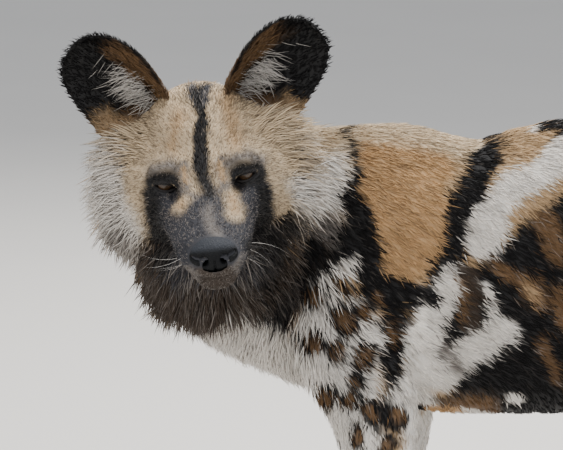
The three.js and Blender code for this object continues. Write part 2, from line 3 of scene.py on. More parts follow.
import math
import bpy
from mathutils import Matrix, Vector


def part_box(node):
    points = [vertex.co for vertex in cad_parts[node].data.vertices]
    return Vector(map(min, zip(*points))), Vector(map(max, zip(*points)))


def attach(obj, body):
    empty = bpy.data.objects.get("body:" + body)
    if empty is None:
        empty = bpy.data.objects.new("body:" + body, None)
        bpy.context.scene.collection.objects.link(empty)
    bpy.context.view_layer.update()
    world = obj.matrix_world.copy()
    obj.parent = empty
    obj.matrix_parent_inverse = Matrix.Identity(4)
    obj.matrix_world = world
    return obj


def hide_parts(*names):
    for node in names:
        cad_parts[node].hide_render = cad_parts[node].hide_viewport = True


bl_info = {
    "name": "African Wild Dog",
    "version": (1, 0, 0),
    "blender": (4, 5, 0),
    "location": "3D View > Sidebar > Wild Dog",
    "description": "Builds a standing african wild dog: skin, coat, eyes, nose and whiskers",
    "category": "Add Mesh",
}

import bpy
import numpy as np
from mathutils import Matrix, Vector
from mathutils.kdtree import KDTree

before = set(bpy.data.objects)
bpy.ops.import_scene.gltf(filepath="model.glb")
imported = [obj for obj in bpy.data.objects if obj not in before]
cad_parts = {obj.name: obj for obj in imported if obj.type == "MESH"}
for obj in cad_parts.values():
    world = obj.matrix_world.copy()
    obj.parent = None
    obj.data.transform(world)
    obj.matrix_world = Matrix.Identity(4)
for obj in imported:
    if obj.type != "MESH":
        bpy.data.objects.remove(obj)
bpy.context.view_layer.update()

# Sizes of the animal, in millimetres, as its solids have them
WITHERS = 645
TRUNK_LENGTH = 650
CHEST_WIDTH = 190
EAR_LENGTH = 104
EAR_WIDTH = 86
EYE_BACK, EYE_SIDE, EYE_RISE = -9, 38, -1
LID_WIDE, LID_HIGH, LID_TILT = 10.8, 4.5, 0.2
LID_DROP = 1.2
LID_EDGE = 5
GAZE_DROP = -0.16
FORELEG_Y = 74
HINDLEG_Y = 70
TAIL_LENGTH = 380
TAIL_ROOT_Z = 580.5

# The head's own axes: forward, to its left and up, from a point between the eyes
EYES_AT = np.array([-208.0, -218.0, 624.0])
HEAD_FORWARD = (0.13, -0.977, -0.171)
HEAD_LEFT = (0.986, 0.109, 0.128)
HEAD_BACK_CUT = -89.0
HEAD_LEFT_CUT = 110.0
HEAD_LOW_CUT = -148.0
HEAD_BLEND = 30
SKIN_LAP = 3
SIDES = (-1, 1)

# The trunk: along, the back's and the belly's height and half a width, each as a share of
# TRUNK_LENGTH, WITHERS or CHEST_WIDTH
TRUNK_OUTLINE = [
    [-0.165, 0.93, 0.67, 0.25], [-0.13, 0.965, 0.6, 0.37], [-0.07, 0.995, 0.567, 0.43],
    [0, 0.992, 0.545, 0.47], [0.08, 0.99, 0.543, 0.5], [0.2, 1.02, 0.548, 0.51],
    [0.34, 1.04, 0.585, 0.49], [0.48, 1.035, 0.645, 0.44], [0.6, 1.015, 0.7, 0.41],
    [0.71, 0.98, 0.75, 0.36], [0.79, 0.93, 0.8, 0.26],
]
# Tubes: the middle's three coordinates, then half a width and half a depth
NECK = [
    [-55, 0, 512, 76, 132], [-122, -4, 518, 75, 126], [-176, -28, 533, 75, 112],
    [-210, -68, 558, 74, 96], [-221, -112, 590, 70, 78],
]
MUZZLE = [[-20, 0, -26, 52, 38], [8, 0, -31, 48, 34], [38, 0, -38, 42, 29],
          [66, 0, -44, 38, 25], [82, 0, -47, 33, 20]]
JAW = [[-40, 0, -62, 46, 24], [0, 0, -70, 35, 18], [40, 0, -74, 26, 13], [76, 0, -74, 17, 9]]
# Legs: along, a share of the track, up, half a width and half a depth
FORELEG = [
    [-48, 0.86, 545, 20, 38], [-72, 0.96, 500, 27, 50], [-82, 1.04, 440, 32, 54],
    [-60, 1.06, 385, 33, 52], [-54, 1.04, 337, 29, 42], [-55, 1.01, 270, 22, 30],
    [-58, 0.98, 205, 19, 23], [-60, 0.97, 160, 20, 22], [-62, 0.96, 105, 18, 18],
    [-68, 0.96, 58, 20, 22],
]
HINDLEG = [
    [425, 0.8, 560, 26, 48], [408, 0.95, 510, 38, 78], [388, 1.04, 440, 40, 72],
    [390, 1.08, 380, 33, 50], [425, 1.06, 305, 24, 33], [470, 1.02, 240, 17, 22],
    [492, 1, 200, 16, 20], [489, 0.98, 145, 15, 16], [482, 0.97, 95, 16, 16],
    [474, 0.97, 55, 19, 20],
]
# The tail: along, aside, a share of its length down, half a width and half a depth
TAIL = [[505, 0, 0, 25, 25], [545, 0, 0.1, 20, 20], [578, 0, 0.26, 18, 18], [594, 1, 0.45, 21, 21],
        [600, 2, 0.66, 23, 23], [598, 3, 0.83, 17, 17], [594, 3, 0.93, 7, 7]]
# Each toe's place ahead and aside, and its size
TOES = [[-24, -2.35, 0.9], [-37, -0.95, 1], [-37, 0.95, 1], [-24, 2.35, 0.9]]
# Each leg's stations, its track and its shift along
LEGS = {
    "foreleg_left": (FORELEG, -FORELEG_Y, 0), "foreleg_right": (FORELEG, FORELEG_Y, 10),
    "hindleg_left": (HINDLEG, -HINDLEG_Y, 0), "hindleg_right": (HINDLEG, HINDLEG_Y, -26),
}
# Each paw's middle, the radii of its palm and of a toe, and the toes' spread
PAWS = {
    "foreleg": (-68, (33, 29, 30), (22, 12.5, 15.5), 11.6),
    "hindleg": (470, (31, 26, 28), (21, 11.5, 14.5), 10.8),
}
# The ear's rows: up, the inner and the outer edge, and how deep it is cupped, as shares
EAR_ROWS = [
    [-0.2, -0.2, 0.26, 0.3], [-0.03, -0.4, 0.52, 0.36], [0.14, -0.47, 0.59, 0.33],
    [0.3, -0.5, 0.57, 0.27], [0.48, -0.5, 0.56, 0.22], [0.65, -0.44, 0.52, 0.16],
    [0.79, -0.32, 0.41, 0.11], [0.87, -0.17, 0.24, 0.07], [0.9, 0.0, 0.06, 0.04],
]
# Each ear's root, the way it stands and the way to its outer edge
EARS = {
    "ear_right": ((-70, -52, 46), (-0.16, -0.557, 0.83), (-0.42, -0.83, -0.557)),
    "ear_left": ((-70, 54, 44), (-0.16, 0.68, 0.74), (-0.42, 0.74, -0.68)),
}
FLESH_NODES = ["head", "lower_jaw", "neck", "torso", "tail"]
FLESH_NODES += [f"{leg}_{part}_{side}" for leg in ("foreleg", "hindleg")
                for part in ("upper", "lower") for side in ("left", "right")]
FLESH_NODES += [f"{paw}_{side}" for paw in ("forepaw", "hindpaw") for side in ("left", "right")]

# The photograph's camera: its angles, distance and the frame's middle, in the photograph's points
VIEW_TURN = math.radians(5)
VIEW_RISE = math.radians(10)
VIEW_DISTANCE = 4000
FRAME_WIDTH, FRAME_HEIGHT = 563, 450
FOCAL = 4255
SENSOR = 36
EYES_IN_FRAME = (205, 178.5)

# The corners between which the skins and the nose are sought
HEAD_SPAN = (-96, -116, -156), (100, 120, 84)
BODY_SPAN = (-300, -150, -6), (660, 130, 720)
NOSE_SPAN = (64, -30, -66), (112, 30, -20)
# Beyond this distance a tube is only a bound
NEAR = 60.0

# Where one ground of the coat gives way to the next
RUMP_EDGE = (200, 206)
LEG_EDGE = (340, 334)
TAIL_EDGE = (520, 548)
TAIL_BLACK = (0.22, 0.3)
TAIL_WHITE = (0.5, 0.56)
MASK_BACK = (-10, 6)
MASK_TOP = (-14, -30)
MOUTH_LEVEL = -64
FAR_SIDE = 20

# Tufts: how far they stray and clump, how deep they root, and their girth from root to tip
STRAY = 0.22
CLUMP_SHARE = 0.45
CELL_PRIMES = np.array([73856093, 19349663, 83492791])
ROOT_SINK = 0.7
GIRTHS = {2: (0.8, 0.9), 3: (0.75, 1.0, 0.6)}
SHORT_HAIR = 15
EAR_HAIR_GAP = 2.5
# The most triangles of a piece, and how wide a tuft's patch of the unwrap is
PIECE_TRIANGLES = 195000
PATCH = 0.003

# The coat's parts on the body: spacing, lift, slot, seed, a tuft's width and what else differs
COAT_PARTS = {
    "neck": (3.3, 0.3, "coat_tan", 31, (0.9, 0.026), {"rings": 3, "droop": 0.06, "clump": 12}),
    "torso": (3.1, 0.15, "coat_tan", 41, (0.7, 0.05), {}),
    "legs": (4.0, 0.16, "coat_white", 51, (1.0, 0.08), {}),
    "paws": (2.9, 0.2, "coat_white", 61, (1.4, 0.12), {}),
    "tail": (2.7, 0.3, "coat_white", 71, (1.4, 0.03), {"rings": 3, "droop": 0.1, "clump": 14}),
}

# Each row of whiskers: how high it sits, and how many. The hairs' thickness is in metres
WHISKER_ROWS = (-46, 3), (-52, 4), (-58, 3)
WHISKER_THICK, LASH_THICK = 0.00013, 0.00016

# The studio, in metres: each light's place, size, power and colour
LIGHTS = {
    "key_light": ((-1.4, -2.6, 2.6), 2.4, 95, (1, 0.97, 0.93)),
    "fill_light": ((2.6, -1.8, 1.6), 2.0, 40, (0.93, 0.96, 1)),
    "top_light": ((0.2, 0.6, 2.8), 2.0, 110, (1, 0.98, 0.95)),
    "back_light": ((0.0, 2.8, 2.2), 2.0, 75, (1, 0.97, 0.92)),
}
LIGHTS_AIM = (0, 0, 0.45)
SKY_COLOUR = (0.8, 0.83, 0.88, 1)
SKY_STRENGTH = 0.75
FLOOR_HALF = 40.0


# Vectors and axes
def unit(v):
    v = np.asarray(v, float)
    return v / np.linalg.norm(v, axis=-1, keepdims=True)


FORWARD = unit(HEAD_FORWARD)
HEAD_UP = unit(np.cross(FORWARD, unit(HEAD_LEFT)))
HEAD = np.array([FORWARD, np.cross(HEAD_UP, FORWARD), HEAD_UP])
VIEW = np.array([-math.sin(VIEW_TURN) * math.cos(VIEW_RISE),
                 math.cos(VIEW_TURN) * math.cos(VIEW_RISE), -math.sin(VIEW_RISE)])
VIEW_RIGHT = np.array([math.cos(VIEW_TURN), math.sin(VIEW_TURN), 0.0])
VIEW_UP = np.cross(VIEW_RIGHT, VIEW)
MM_PER_POINT = VIEW_DISTANCE / FOCAL
CAMERA_AT = EYES_AT - (
    VIEW_DISTANCE * VIEW
    + (EYES_IN_FRAME[0] - FRAME_WIDTH / 2) * MM_PER_POINT * VIEW_RIGHT
    + (FRAME_HEIGHT / 2 - EYES_IN_FRAME[1]) * MM_PER_POINT * VIEW_UP
)


def to_head(points):
    return (points - EYES_AT) @ HEAD.T


def from_head(points):
    return EYES_AT + np.asarray(points, float) @ HEAD


def box_centre(node):
    low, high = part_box(node)
    return np.array((low + high) / 2) * 1000


# How far the frame's eyes are from the place that the sizes above give them
EYES_CENTRE = from_head([[EYE_BACK, 0, EYE_RISE]])[0]
SHIFT = (box_centre("eye_left") + box_centre("eye_right")) / 2 - EYES_CENTRE


def to_row(points):
    """Millimetres in the animal's own place to metres in the frame."""
    return (np.asarray(points, float) + SHIFT) / 1000


def in_frame(points):
    """Where the photograph's camera sees each point, in the photograph's own points."""
    away = points - CAMERA_AT
    depth = away @ VIEW
    across = FRAME_WIDTH / 2 + FOCAL * (away @ VIEW_RIGHT) / depth
    down = FRAME_HEIGHT / 2 - FOCAL * (away @ VIEW_UP) / depth
    return np.stack([across, down], 1)


def ease(x, start, end):
    """From 0 at start to 1 at end, smoothly."""
    t = np.clip((x - start) / (end - start), 0, 1)
    return t * t * (3 - 2 * t)


def blend(a, b, share):
    return a * (1 - share[:, None]) + b * share[:, None]


def across_normals(vectors, normals):
    """What is left of the vectors once their part along the normals is taken off."""
    return vectors - (vectors * normals).sum(1)[:, None] * normals


def waves(points, size, seed, count=7):
    """A smooth random field between about -1 and 1, whose features are about size across."""
    draw = np.random.default_rng(seed)
    total = np.zeros(len(points))
    for _ in range(count):
        heading = unit(draw.normal(size=3)) * 2 * math.pi / (size * draw.uniform(1.4, 2.6))
        total += np.sin(points @ heading + draw.uniform(0, 2 * math.pi))
    return total / math.sqrt(count)


# Solid forms as distances, in millimetres
def smooth_min(a, b, k):
    """The lesser of two distances, rounded where they are within k of each other."""
    h = np.maximum(k - np.abs(a - b), 0) / k
    return np.minimum(a, b) - h * h * k / 4


def join(k, *fields):
    """Forms grown together, with fillets of about k."""
    total = fields[0]
    for field in fields[1:]:
        total = smooth_min(total, field, k)
    return total


def oval(x, y, z, a, b, c):
    k0 = np.sqrt((x / a) ** 2 + (y / b) ** 2 + (z / c) ** 2)
    k1 = np.sqrt((x / a**2) ** 2 + (y / b**2) ** 2 + (z / c**2) ** 2) + 1e-9
    return k0 * (k0 - 1) / k1


def ball(points, centre, radii, turn=0.0, axis=1):
    q = points - np.array(centre, float)
    if turn:
        q = q @ np.array(Matrix.Rotation(math.radians(turn), 3, "XYZ"[axis]))
    return oval(q[:, 0], q[:, 1], q[:, 2], *radii)


def smooth_path(stations, steps):
    """Rows along a Catmull-Rom curve through the stations, steps to a span."""
    s = np.array(stations, float)
    s = np.vstack([2 * s[0] - s[1], s, 2 * s[-1] - s[-2]])
    rows = []
    for i in range(1, len(s) - 2):
        p0, p1, p2, p3 = s[i - 1:i + 3]
        for t in np.arange(steps) / steps:
            rows.append(0.5 * (2 * p1 + (p2 - p0) * t + (2 * p0 - 5 * p1 + 4 * p2 - p3) * t**2
                               + (3 * p1 - p0 - 3 * p2 + p3) * t**3))
    return np.array(rows + [s[-2]])


def tube(points, stations, reference, taper=0.0, steps=3):
    """A tube of oval section through the stations. Farther than NEAR it is only a bound."""
    path = smooth_path(stations, steps)
    centre, wide, deep = path[:, :3], path[:, 3], path[:, 4]
    along = unit(np.gradient(centre, axis=0))
    side = unit(np.cross(along, reference))
    rise = np.cross(side, along)
    total = np.full(len(points), 1e3)
    for i in range(len(centre) - 1):
        a, b = centre[i], centre[i + 1]
        reach = np.linalg.norm(b - a) / 2 + max(wide[i:i + 2].max(), deep[i:i + 2].max())
        bound = np.linalg.norm(points - (a + b) / 2, axis=1) - reach
        total = np.minimum(total, np.maximum(bound, NEAR))
        near = np.flatnonzero(bound < NEAR)
        p = points[near]
        t = np.clip((p - a) @ (b - a) / ((b - a) @ (b - a)), 0, 1)
        q = p - a - t[:, None] * (b - a)
        x, y, z = (q @ v[i] * (1 - t) + q @ v[i + 1] * t for v in (side, rise, along))
        w = wide[i] + (wide[i + 1] - wide[i]) * t
        d = deep[i] + (deep[i + 1] - deep[i]) * t
        broad = w * (1 + taper * np.clip(y / d, -1, 1))
        total[near] = np.minimum(total[near], oval(x, y, z, broad, d, (w + d) / 2))
    return total


def trunk_stations():
    rows = []
    for along, back, belly, half in TRUNK_OUTLINE:
        middle, depth = (back + belly) / 2 * WITHERS, (back - belly) / 2 * WITHERS
        rows.append([along * TRUNK_LENGTH, 0, middle, half * CHEST_WIDTH, depth])
    return rows


def leg_stations(name):
    stations, track, shift = LEGS[name]
    return [[x + shift, share * track, z, w, d] for x, share, z, w, d in stations]


def paw_field(points, name):
    middle, palm, toe, spread = PAWS[name.split("_")[0]]
    _, track, shift = LEGS[name]
    side = track * LEGS[name][0][-1][1]
    total = ball(points, (middle + shift - 8, side, 25), palm)
    for x, across, size in TOES:
        c = toe[2] * size
        centre = (middle + shift + x, side + across * spread, c - 1.6)
        total = smooth_min(total, ball(points, centre, [r * size for r in toe]), 5)
    return np.maximum(total, -points[:, 2])


def tail_stations():
    return [[x, y, TAIL_ROOT_Z - drop * TAIL_LENGTH, w, d] for x, y, drop, w, d in TAIL]


def trunk_field(points):
    trunk = tube(points, trunk_stations(), (0, 0, 1), 0.12)
    return join(40, trunk, tube(points, NECK, (0, 0, 1)))


def head_field(q):
    """The head's flesh in its own axes, without its openings."""
    cranium = ball(q, (-68, 0, 8), (66, 60, 62))
    forehead = ball(q, (-24, 0, 4), (38, 47, 26), 8)
    skull = join(14, cranium, forehead, tube(q, MUZZLE, (0, 0, 1)), tube(q, JAW, (0, 0, 1)))
    for s in SIDES:
        cheek = ball(q, (-42, s * 48, -22), (46, 34, 44))
        skull = smooth_min(skull, cheek, 14)
    for s in SIDES:
        brow = ball(q, (-6, s * 35, 15), (13, 20, 8), s * -14, 0)
        orbit = ball(q, (EYE_BACK, s * EYE_SIDE, EYE_RISE), (15.5, 17.5, 15))
        skull = join(6, skull, brow, orbit)
    right, left = (ball(q, (-62, s * 62, -22), (40, 30, 54), s * 10, 0) for s in SIDES)
    throat = ball(q, (-56, 0, -68), (38, 54, 38))
    return join(16, skull, right, left, throat)


def head_part(q):
    """How far inside the head's share of the skin a place is, beyond its cuts."""
    f, l, u = q.T
    return np.minimum(np.minimum(f - HEAD_BACK_CUT, HEAD_LEFT_CUT - l), u - HEAD_LOW_CUT)


def eye_distance(q):
    """How far a place is from the nearer eye, seen from the front."""
    return np.hypot(np.abs(q[:, 1]) - EYE_SIDE, q[:, 2] - EYE_RISE)


def coat_depth(points):
    """How far the skin lies under the solids' surface."""
    z = points[:, 2]
    depth = 2.5 + 2.5 * ease(z, 50, 110) + 4 * ease(z, 300, 430)
    neck = ease(points[:, 0], -90, -150)
    tail = ease(points[:, 0], 505, 545)
    return depth * (1 - 0.55 * neck) * (1 - 0.5 * tail)


def body_skin(points):
    """The skin of the trunk, neck, legs, paws and tail."""
    total = trunk_field(points)
    for name in LEGS:
        total = smooth_min(total, tube(points, leg_stations(name), (1, 0, 0)), 24)
        total = smooth_min(total, paw_field(points, name), 9)
    total = smooth_min(total, tube(points, tail_stations(), (1, 0, 0)), 20)
    q = to_head(points)
    total = smooth_min(total, head_field(q), HEAD_BLEND) + coat_depth(points)
    return np.maximum(total, head_part(q) - SKIN_LAP)


def eye_opening(q, margin=0.2):
    """The slit between the lids, as a distance across the eye's face."""
    across = np.abs(q[:, 1]) - EYE_SIDE
    up = q[:, 2] - EYE_RISE + LID_DROP - LID_TILT * across
    flat = np.sqrt((across / (LID_WIDE + margin)) ** 2 + (up / (LID_HIGH + margin)) ** 2)
    return np.maximum((flat - 1) * LID_EDGE, EYE_BACK - 2 - q[:, 0])


def head_depth(q):
    """How far the head's skin lies under the solids: least at the eyes, the jaw and the nape."""
    f, l, u = q.T
    depth = 4.5 - 2 * ease(f, -10, 30)
    depth = depth * (0.3 + 0.7 * ease(eye_distance(q), 14, 32))
    depth = depth * (1 - 0.6 * ease(u, -58, -66) * ease(f, 5, 35))
    return depth * (1 - 0.7 * ease(f, -35, -60))


def head_skin(q):
    """The head's skin with its lips, the hollows before the eyes, the mouth's line and the lids."""
    f, l, u = q.T
    total = smooth_min(head_field(q), trunk_field(from_head(q)), HEAD_BLEND) + head_depth(q)
    lips = ball(q, (56, 0, -66), (34, 16, 9))
    total = smooth_min(total, lips, 4)
    for s in SIDES:
        hollow_before_eye = ball(q, (14, s * 31, -8), (17, 9, 8))
        total = -smooth_min(-total, hollow_before_eye + 3, 7)
    mouth_line = -66.0 + 1.5 * np.cos(f / 14)
    groove = np.hypot(u - mouth_line, np.maximum(0, -8 - f)) - 0.9
    groove = np.maximum(groove, 19 - np.abs(l) - 40 * ease(f, 60, 92))
    total = -smooth_min(-total, np.maximum(groove, -1.4 - total), 2.0)
    total = np.maximum(total, -eye_opening(q))
    sockets = (ball(q, (EYE_BACK, s * EYE_SIDE, EYE_RISE), (12.3,) * 3) for s in SIDES)
    total = np.maximum(total, -np.maximum(np.minimum(*sockets), EYE_BACK - 6 - f))
    return np.maximum(total, -head_part(q) - SKIN_LAP)


def nose_form(q):
    _, l, u = q.T
    total = ball(q, (94, 0, -43), (13, 23, 15))
    total = smooth_min(total, ball(q, (84, 0, -40), (14, 20, 12)), 6)
    for s in SIDES:
        nostril = ball(q, (106, s * 9.5, -44), (10, 4.2, 5.2))
        comma = ball(q, (101, s * 16, -41), (8, 5.5, 1.6), s * 14, 0)
        total = -smooth_min(-total, np.minimum(nostril, comma), 3)
    cleft = np.hypot(l / 0.9, np.maximum(0, u + 44) * 2) - 1
    return -smooth_min(-total, np.maximum(cleft, -1.6 - total), 1.5)


# A closed skin round a form
def finer(values, ratio):
    """The values of a coarse lattice, filled in between."""
    for axis in range(3):
        place = np.arange((values.shape[axis] - 1) * ratio + 1) / ratio
        low = np.minimum(place.astype(int), values.shape[axis] - 2)
        t = (place - low).reshape([-1 if a == axis else 1 for a in range(3)])
        values = np.take(values, low, axis) * (1 - t) + np.take(values, low + 1, axis) * t
    return values


def lattice(low, counts, step):
    grid = np.stack(np.meshgrid(*(np.arange(n) for n in counts), indexing="ij"), -1)
    return low + grid.reshape(-1, 3) * step


def shell(field, low, high, step, ratio):
    """Vertices and outward quads of the field's zero surface, on a lattice."""
    low = np.array(low, float)
    coarse = step * ratio
    counts = np.ceil((np.array(high) - low) / coarse).astype(int) + 1
    values = finer(field(lattice(low, counts, coarse)).reshape(counts), ratio)
    near = np.argwhere(np.abs(values) < coarse * 1.3)
    values[tuple(near.T)] = field(low + near * step)
    inside = values < 0
    cells = np.array(values.shape) - 1
    ends = [[slice(start, start + n) for start in (0, 1)] for n in cells]
    filled = sum(inside[i, j, k].astype(int) for i in ends[0] for j in ends[1] for k in ends[2])
    active = np.argwhere((filled > 0) & (filled < 8))
    index = np.full(cells, -1)
    index[tuple(active.T)] = np.arange(len(active))
    total, hits = np.zeros((len(active), 3)), np.zeros(len(active))
    faces = []
    units = np.eye(3, dtype=int)
    for axis in range(3):
        others = [(axis + 1) % 3, (axis + 2) % 3]
        e, b, c = units[axis], units[others[0]], units[others[1]]
        for start in (0 * b, b, c, b + c):
            v0, v1 = values[tuple((active + start).T)], values[tuple((active + start + e).T)]
            cross = (v0 < 0) != (v1 < 0)
            t = np.where(cross, v0 / np.where(cross, v0 - v1, 1), 0)
            total += cross[:, None] * (start + t[:, None] * e)
            hits += cross
        ahead = np.take(inside, np.arange(1, values.shape[axis]), axis)
        here = np.take(inside, np.arange(values.shape[axis] - 1), axis)
        edges = np.argwhere(here != ahead)
        edges = edges[np.all((edges[:, others] >= 1) & (edges[:, others] < cells[others]), axis=1)]
        quads = np.stack([index[tuple((edges + o).T)] for o in (-b - c, -c, 0 * b, -b)], 1)
        out = inside[tuple(edges.T)]
        faces.append(np.where(out[:, None], quads, quads[:, ::-1]))
    vertices = low + (active + total / hits[:, None]) * step
    return vertices, np.vstack(faces)


def slope(points, field, reach=0.35):
    """A field's value and its gradient."""
    here = field(points)
    rows = [field(points + reach * e) - here for e in np.eye(3)]
    return here, np.stack(rows, 1) / reach


def settle(points, field, most, rounds=2):
    """The points moved on to the field's zero surface, with its normals there."""
    for _ in range(rounds):
        value, gradient = slope(points, field)
        step = value / np.maximum((gradient**2).sum(1), 0.05)
        step = np.clip(step, -most, most)[:, None]
        points = points - gradient * step
    return points, unit(slope(points, field)[1] + 1e-9)


# Markings, with a few strokes of painted shadow and painted highlight: named strokes in the
# photograph's frame, laid one over another. Each has a pigment, half a width, the softness of
# its edge and its points, across and down. Left is the frame's left
HEAD_MARKS = {
    "forehead": ("cream", 60, 20, 205, 110, 205, 150),
    "forehead_tan_right": ("tan", 8, 18, 228, 104, 236, 140),
    "forehead_tan_left": ("tan", 4, 14, 180, 112, 172, 150),
    "brow_left": ("grizzle", 6, 14, 150, 168, 168, 165, 184, 170),
    "brow_right": ("grizzle", 6, 14, 228, 164, 248, 156, 264, 160),
    "cheek_left": ("white", 30, 20, 86, 160, 96, 205, 112, 236),
    "cheek_right": ("white", 30, 18, 316, 155, 326, 195),
    "temple_right": ("cream", 18, 18, 280, 135, 292, 160),
    "jowl_left": ("grizzle", 22, 20, 108, 250, 128, 275, 150, 300),
    "throat": ("umber", 24, 20, 150, 272, 175, 298, 205, 312, 240, 312, 285, 280),
    "throat_edge_left": ("grizzle", 9, 14, 140, 262, 160, 290, 196, 322),
    "throat_upper": ("umber", 24, 16, 165, 262, 190, 290, 228, 300, 262, 280, 275, 250),
    "throat_shadow_right": ("black", 20, 14, 262, 262, 280, 245, 292, 232),
    "throat_shadow_low": ("black", 20, 16, 195, 316, 228, 322, 262, 308),
    "mask_left": ("slate", 21, 12, 168, 208, 178, 240, 194, 262),
    "mask_right": ("slate", 24, 12, 247, 206, 242, 236, 234, 258),
    "mask_bridge": ("slate", 22, 12, 208, 212, 212, 250),
    "under_eye_left": ("slate", 11, 8, 158, 192, 172, 198),
    "under_eye_right": ("slate", 12, 8, 246, 188, 262, 190),
    "eye_rim_left": ("black", 11, 10, 155, 180, 171, 181),
    "tear_left": ("black", 6, 6, 173, 184, 182, 194),
    "eye_rim_right": ("black", 12, 10, 240, 176, 258, 172),
    "tear_right": ("black", 6, 6, 238, 182, 230, 190),
    "mask_edge_left": ("black", 8, 10, 152, 194, 154, 228, 170, 256),
    "mask_edge_right": ("black", 9, 10, 264, 190, 265, 216, 254, 250),
    "inner_brow_left": ("grizzle", 5, 7, 186, 164, 187, 184),
    "inner_brow_right": ("grizzle", 5, 7, 221, 160, 222, 182),
    "inner_brow_tan_left": ("tan", 3, 5, 186, 168, 188, 180),
    "inner_brow_tan_right": ("tan", 3, 5, 221, 164, 222, 178),
    "stop_left": ("grizzle", 4, 9, 182, 192, 193, 196),
    "stop_right": ("grizzle", 4, 9, 215, 190, 228, 187),
    "patch_left": ("cream", 5, 11, 184, 200, 178, 211),
    "patch_right": ("cream", 7, 12, 229, 195, 237, 212),
    "patch_heart_left": ("tan", 3, 8, 183, 202, 180, 210),
    "patch_heart_right": ("tan", 4, 8, 231, 198, 236, 209),
    "bridge_bloom": ("grizzle", 5, 16, 209, 212, 216, 234),
    "chin": ("umber", 11, 8, 200, 280, 216, 286, 232, 278),
    "lip_left": ("grizzle", 2.5, 6, 190, 268, 196, 280),
    "lip_right": ("grizzle", 2.5, 6, 242, 256, 236, 270),
    "fork_left": ("slate", 5, 4, 192, 89, 196, 104),
    "fork_right": ("slate", 5, 4, 207, 90, 203, 104),
    "stripe_top": ("black", 5, 4, 198, 94, 198, 112, 199, 124),
    "stripe_middle": ("black", 7.5, 5, 199, 126, 201, 148, 204, 166),
    "stripe_foot": ("black", 7.5, 9, 204, 166, 206, 190),
}
BODY_MARKS = {
    "nape": ("cream", 34, 22, 300, 140, 330, 150, 345, 190),
    "nape_white": ("white", 24, 24, 318, 162, 328, 195),
    # Cream along the top of the nape: partly the coat's own colour, partly a painted highlight
    # where light from behind falls
    "nape_top_cream_and_painted_highlight": ("cream", 12, 16, 290, 140, 330, 142),
    "neck_grey": ("grizzle", 20, 18, 300, 225, 335, 235),
    "throat_dark": ("umber", 34, 14, 150, 300, 200, 316, 256, 312, 285, 280),
    "throat_corner": ("umber", 26, 14, 285, 265, 312, 262),
    "throat_edge": ("black", 15, 12, 312, 250, 296, 285, 272, 312),
    "breast": ("white", 24, 12, 200, 366, 255, 360, 300, 352),
    "saddle": ("ochre", 44, 10, 405, 150, 405, 235),
    # Cream along the top of the back: partly the coat's own colour, partly a painted highlight
    # where the top light falls
    "saddle_top_cream_and_painted_highlight": ("cream", 15, 18, 368, 126, 430, 136, 470, 146),
    "collar": ("black", 4.5, 5, 350, 120, 354, 150, 358, 185),
    "shoulder_front": ("black", 14, 7, 359, 200, 362, 240, 372, 280),
    "collar_foot": ("black", 7, 7, 356, 180, 360, 205),
    "shoulder_throat": ("black", 13, 7, 355, 235, 338, 262, 325, 285),
    "shoulder_foot": ("black", 17, 7, 375, 292, 405, 296, 432, 300),
    "saddle_back": ("black", 14, 6, 500, 145, 478, 172, 463, 205, 456, 245, 444, 280),
    "flank": ("black", 70, 14, 600, 260, 540, 330, 520, 400),
    "elbow": ("black", 26, 10, 476, 290, 470, 330, 440, 350, 400, 340),
    "flank_upper": ("black", 17, 9, 502, 268, 528, 240, 563, 216, 610, 200),
    "loin": ("tan", 15, 7, 512, 150, 535, 136, 556, 124),
    "loin_black": ("black", 12, 6, 563, 128, 590, 140, 620, 190),
    "flash": ("white", 17, 6, 580, 148, 545, 172, 512, 190, 490, 215, 486, 240),
    "flash_end": ("white", 10, 6, 600, 175, 572, 180),
    "flank_patch_1": ("brown", 12, 10, 546, 222, 558, 250),
    "flank_patch_2": ("brown", 9, 8, 520, 284, 538, 304),
    "flank_patch_2_heart": ("tan", 3, 9, 524, 290, 534, 302),
    "flank_patch_3": ("brown", 7, 8, 500, 264, 508, 278),
    "flank_patch_4": ("brown", 9, 8, 556, 290, 563, 320),
    "flank_patch_5": ("brown", 8, 8, 540, 344, 556, 376),
    "rib_white_front": ("white", 15, 7, 455, 282, 430, 318, 418, 345, 424, 376),
    "rib_white_tip": ("white", 4, 5, 487, 290, 496, 318),
    "rib_white_back": ("white", 17, 8, 500, 330, 486, 345, 466, 358, 440, 376),
    "rib_grey": ("grizzle", 6, 14, 440, 346, 462, 372),
    "rib_tongue": ("umber", 9, 6, 470, 272, 474, 300, 470, 322),
    "rib_tongue_edge": ("brown", 3, 6, 462, 280, 466, 318),
    "saddle_corner": ("black", 7, 6, 412, 282, 436, 302),
    "belly": ("umber", 11, 8, 432, 408, 462, 408, 494, 404),
    "belly_heart": ("brown", 7, 9, 440, 408, 462, 407, 488, 405),
    "belly_black": ("black", 14, 8, 512, 400, 556, 392),
    "belly_fleck": ("white", 6, 5, 512, 396, 520, 398),
    "chest": ("white", 40, 10, 240, 352, 290, 372, 330, 390),
    "shoulder_white": ("white", 10, 7, 348, 268, 326, 296, 306, 326),
    "foreleg_white": ("white", 34, 12, 345, 330, 350, 400, 350, 470),
    "foreleg_band": ("black", 10, 5, 392, 318, 390, 350, 398, 392, 392, 416),
    "foreleg_band_heart": ("brown", 5, 6, 392, 330, 391, 342),
    "elbow_white": ("white", 20, 10, 412, 395, 425, 440),
}
# Spots with a black ring round a brown middle: across, down and size
RINGED_SPOTS = [
    (312, 342, 13), (345, 322, 14), (337, 352, 12), (362, 312, 10), (366, 356, 12), (325, 396, 12),
    (352, 402, 13), (377, 416, 12), (398, 418, 9), (358, 378, 9), (318, 302, 9), (343, 290, 9),
    (376, 300, 10), (390, 440, 10), (356, 436, 9),
]


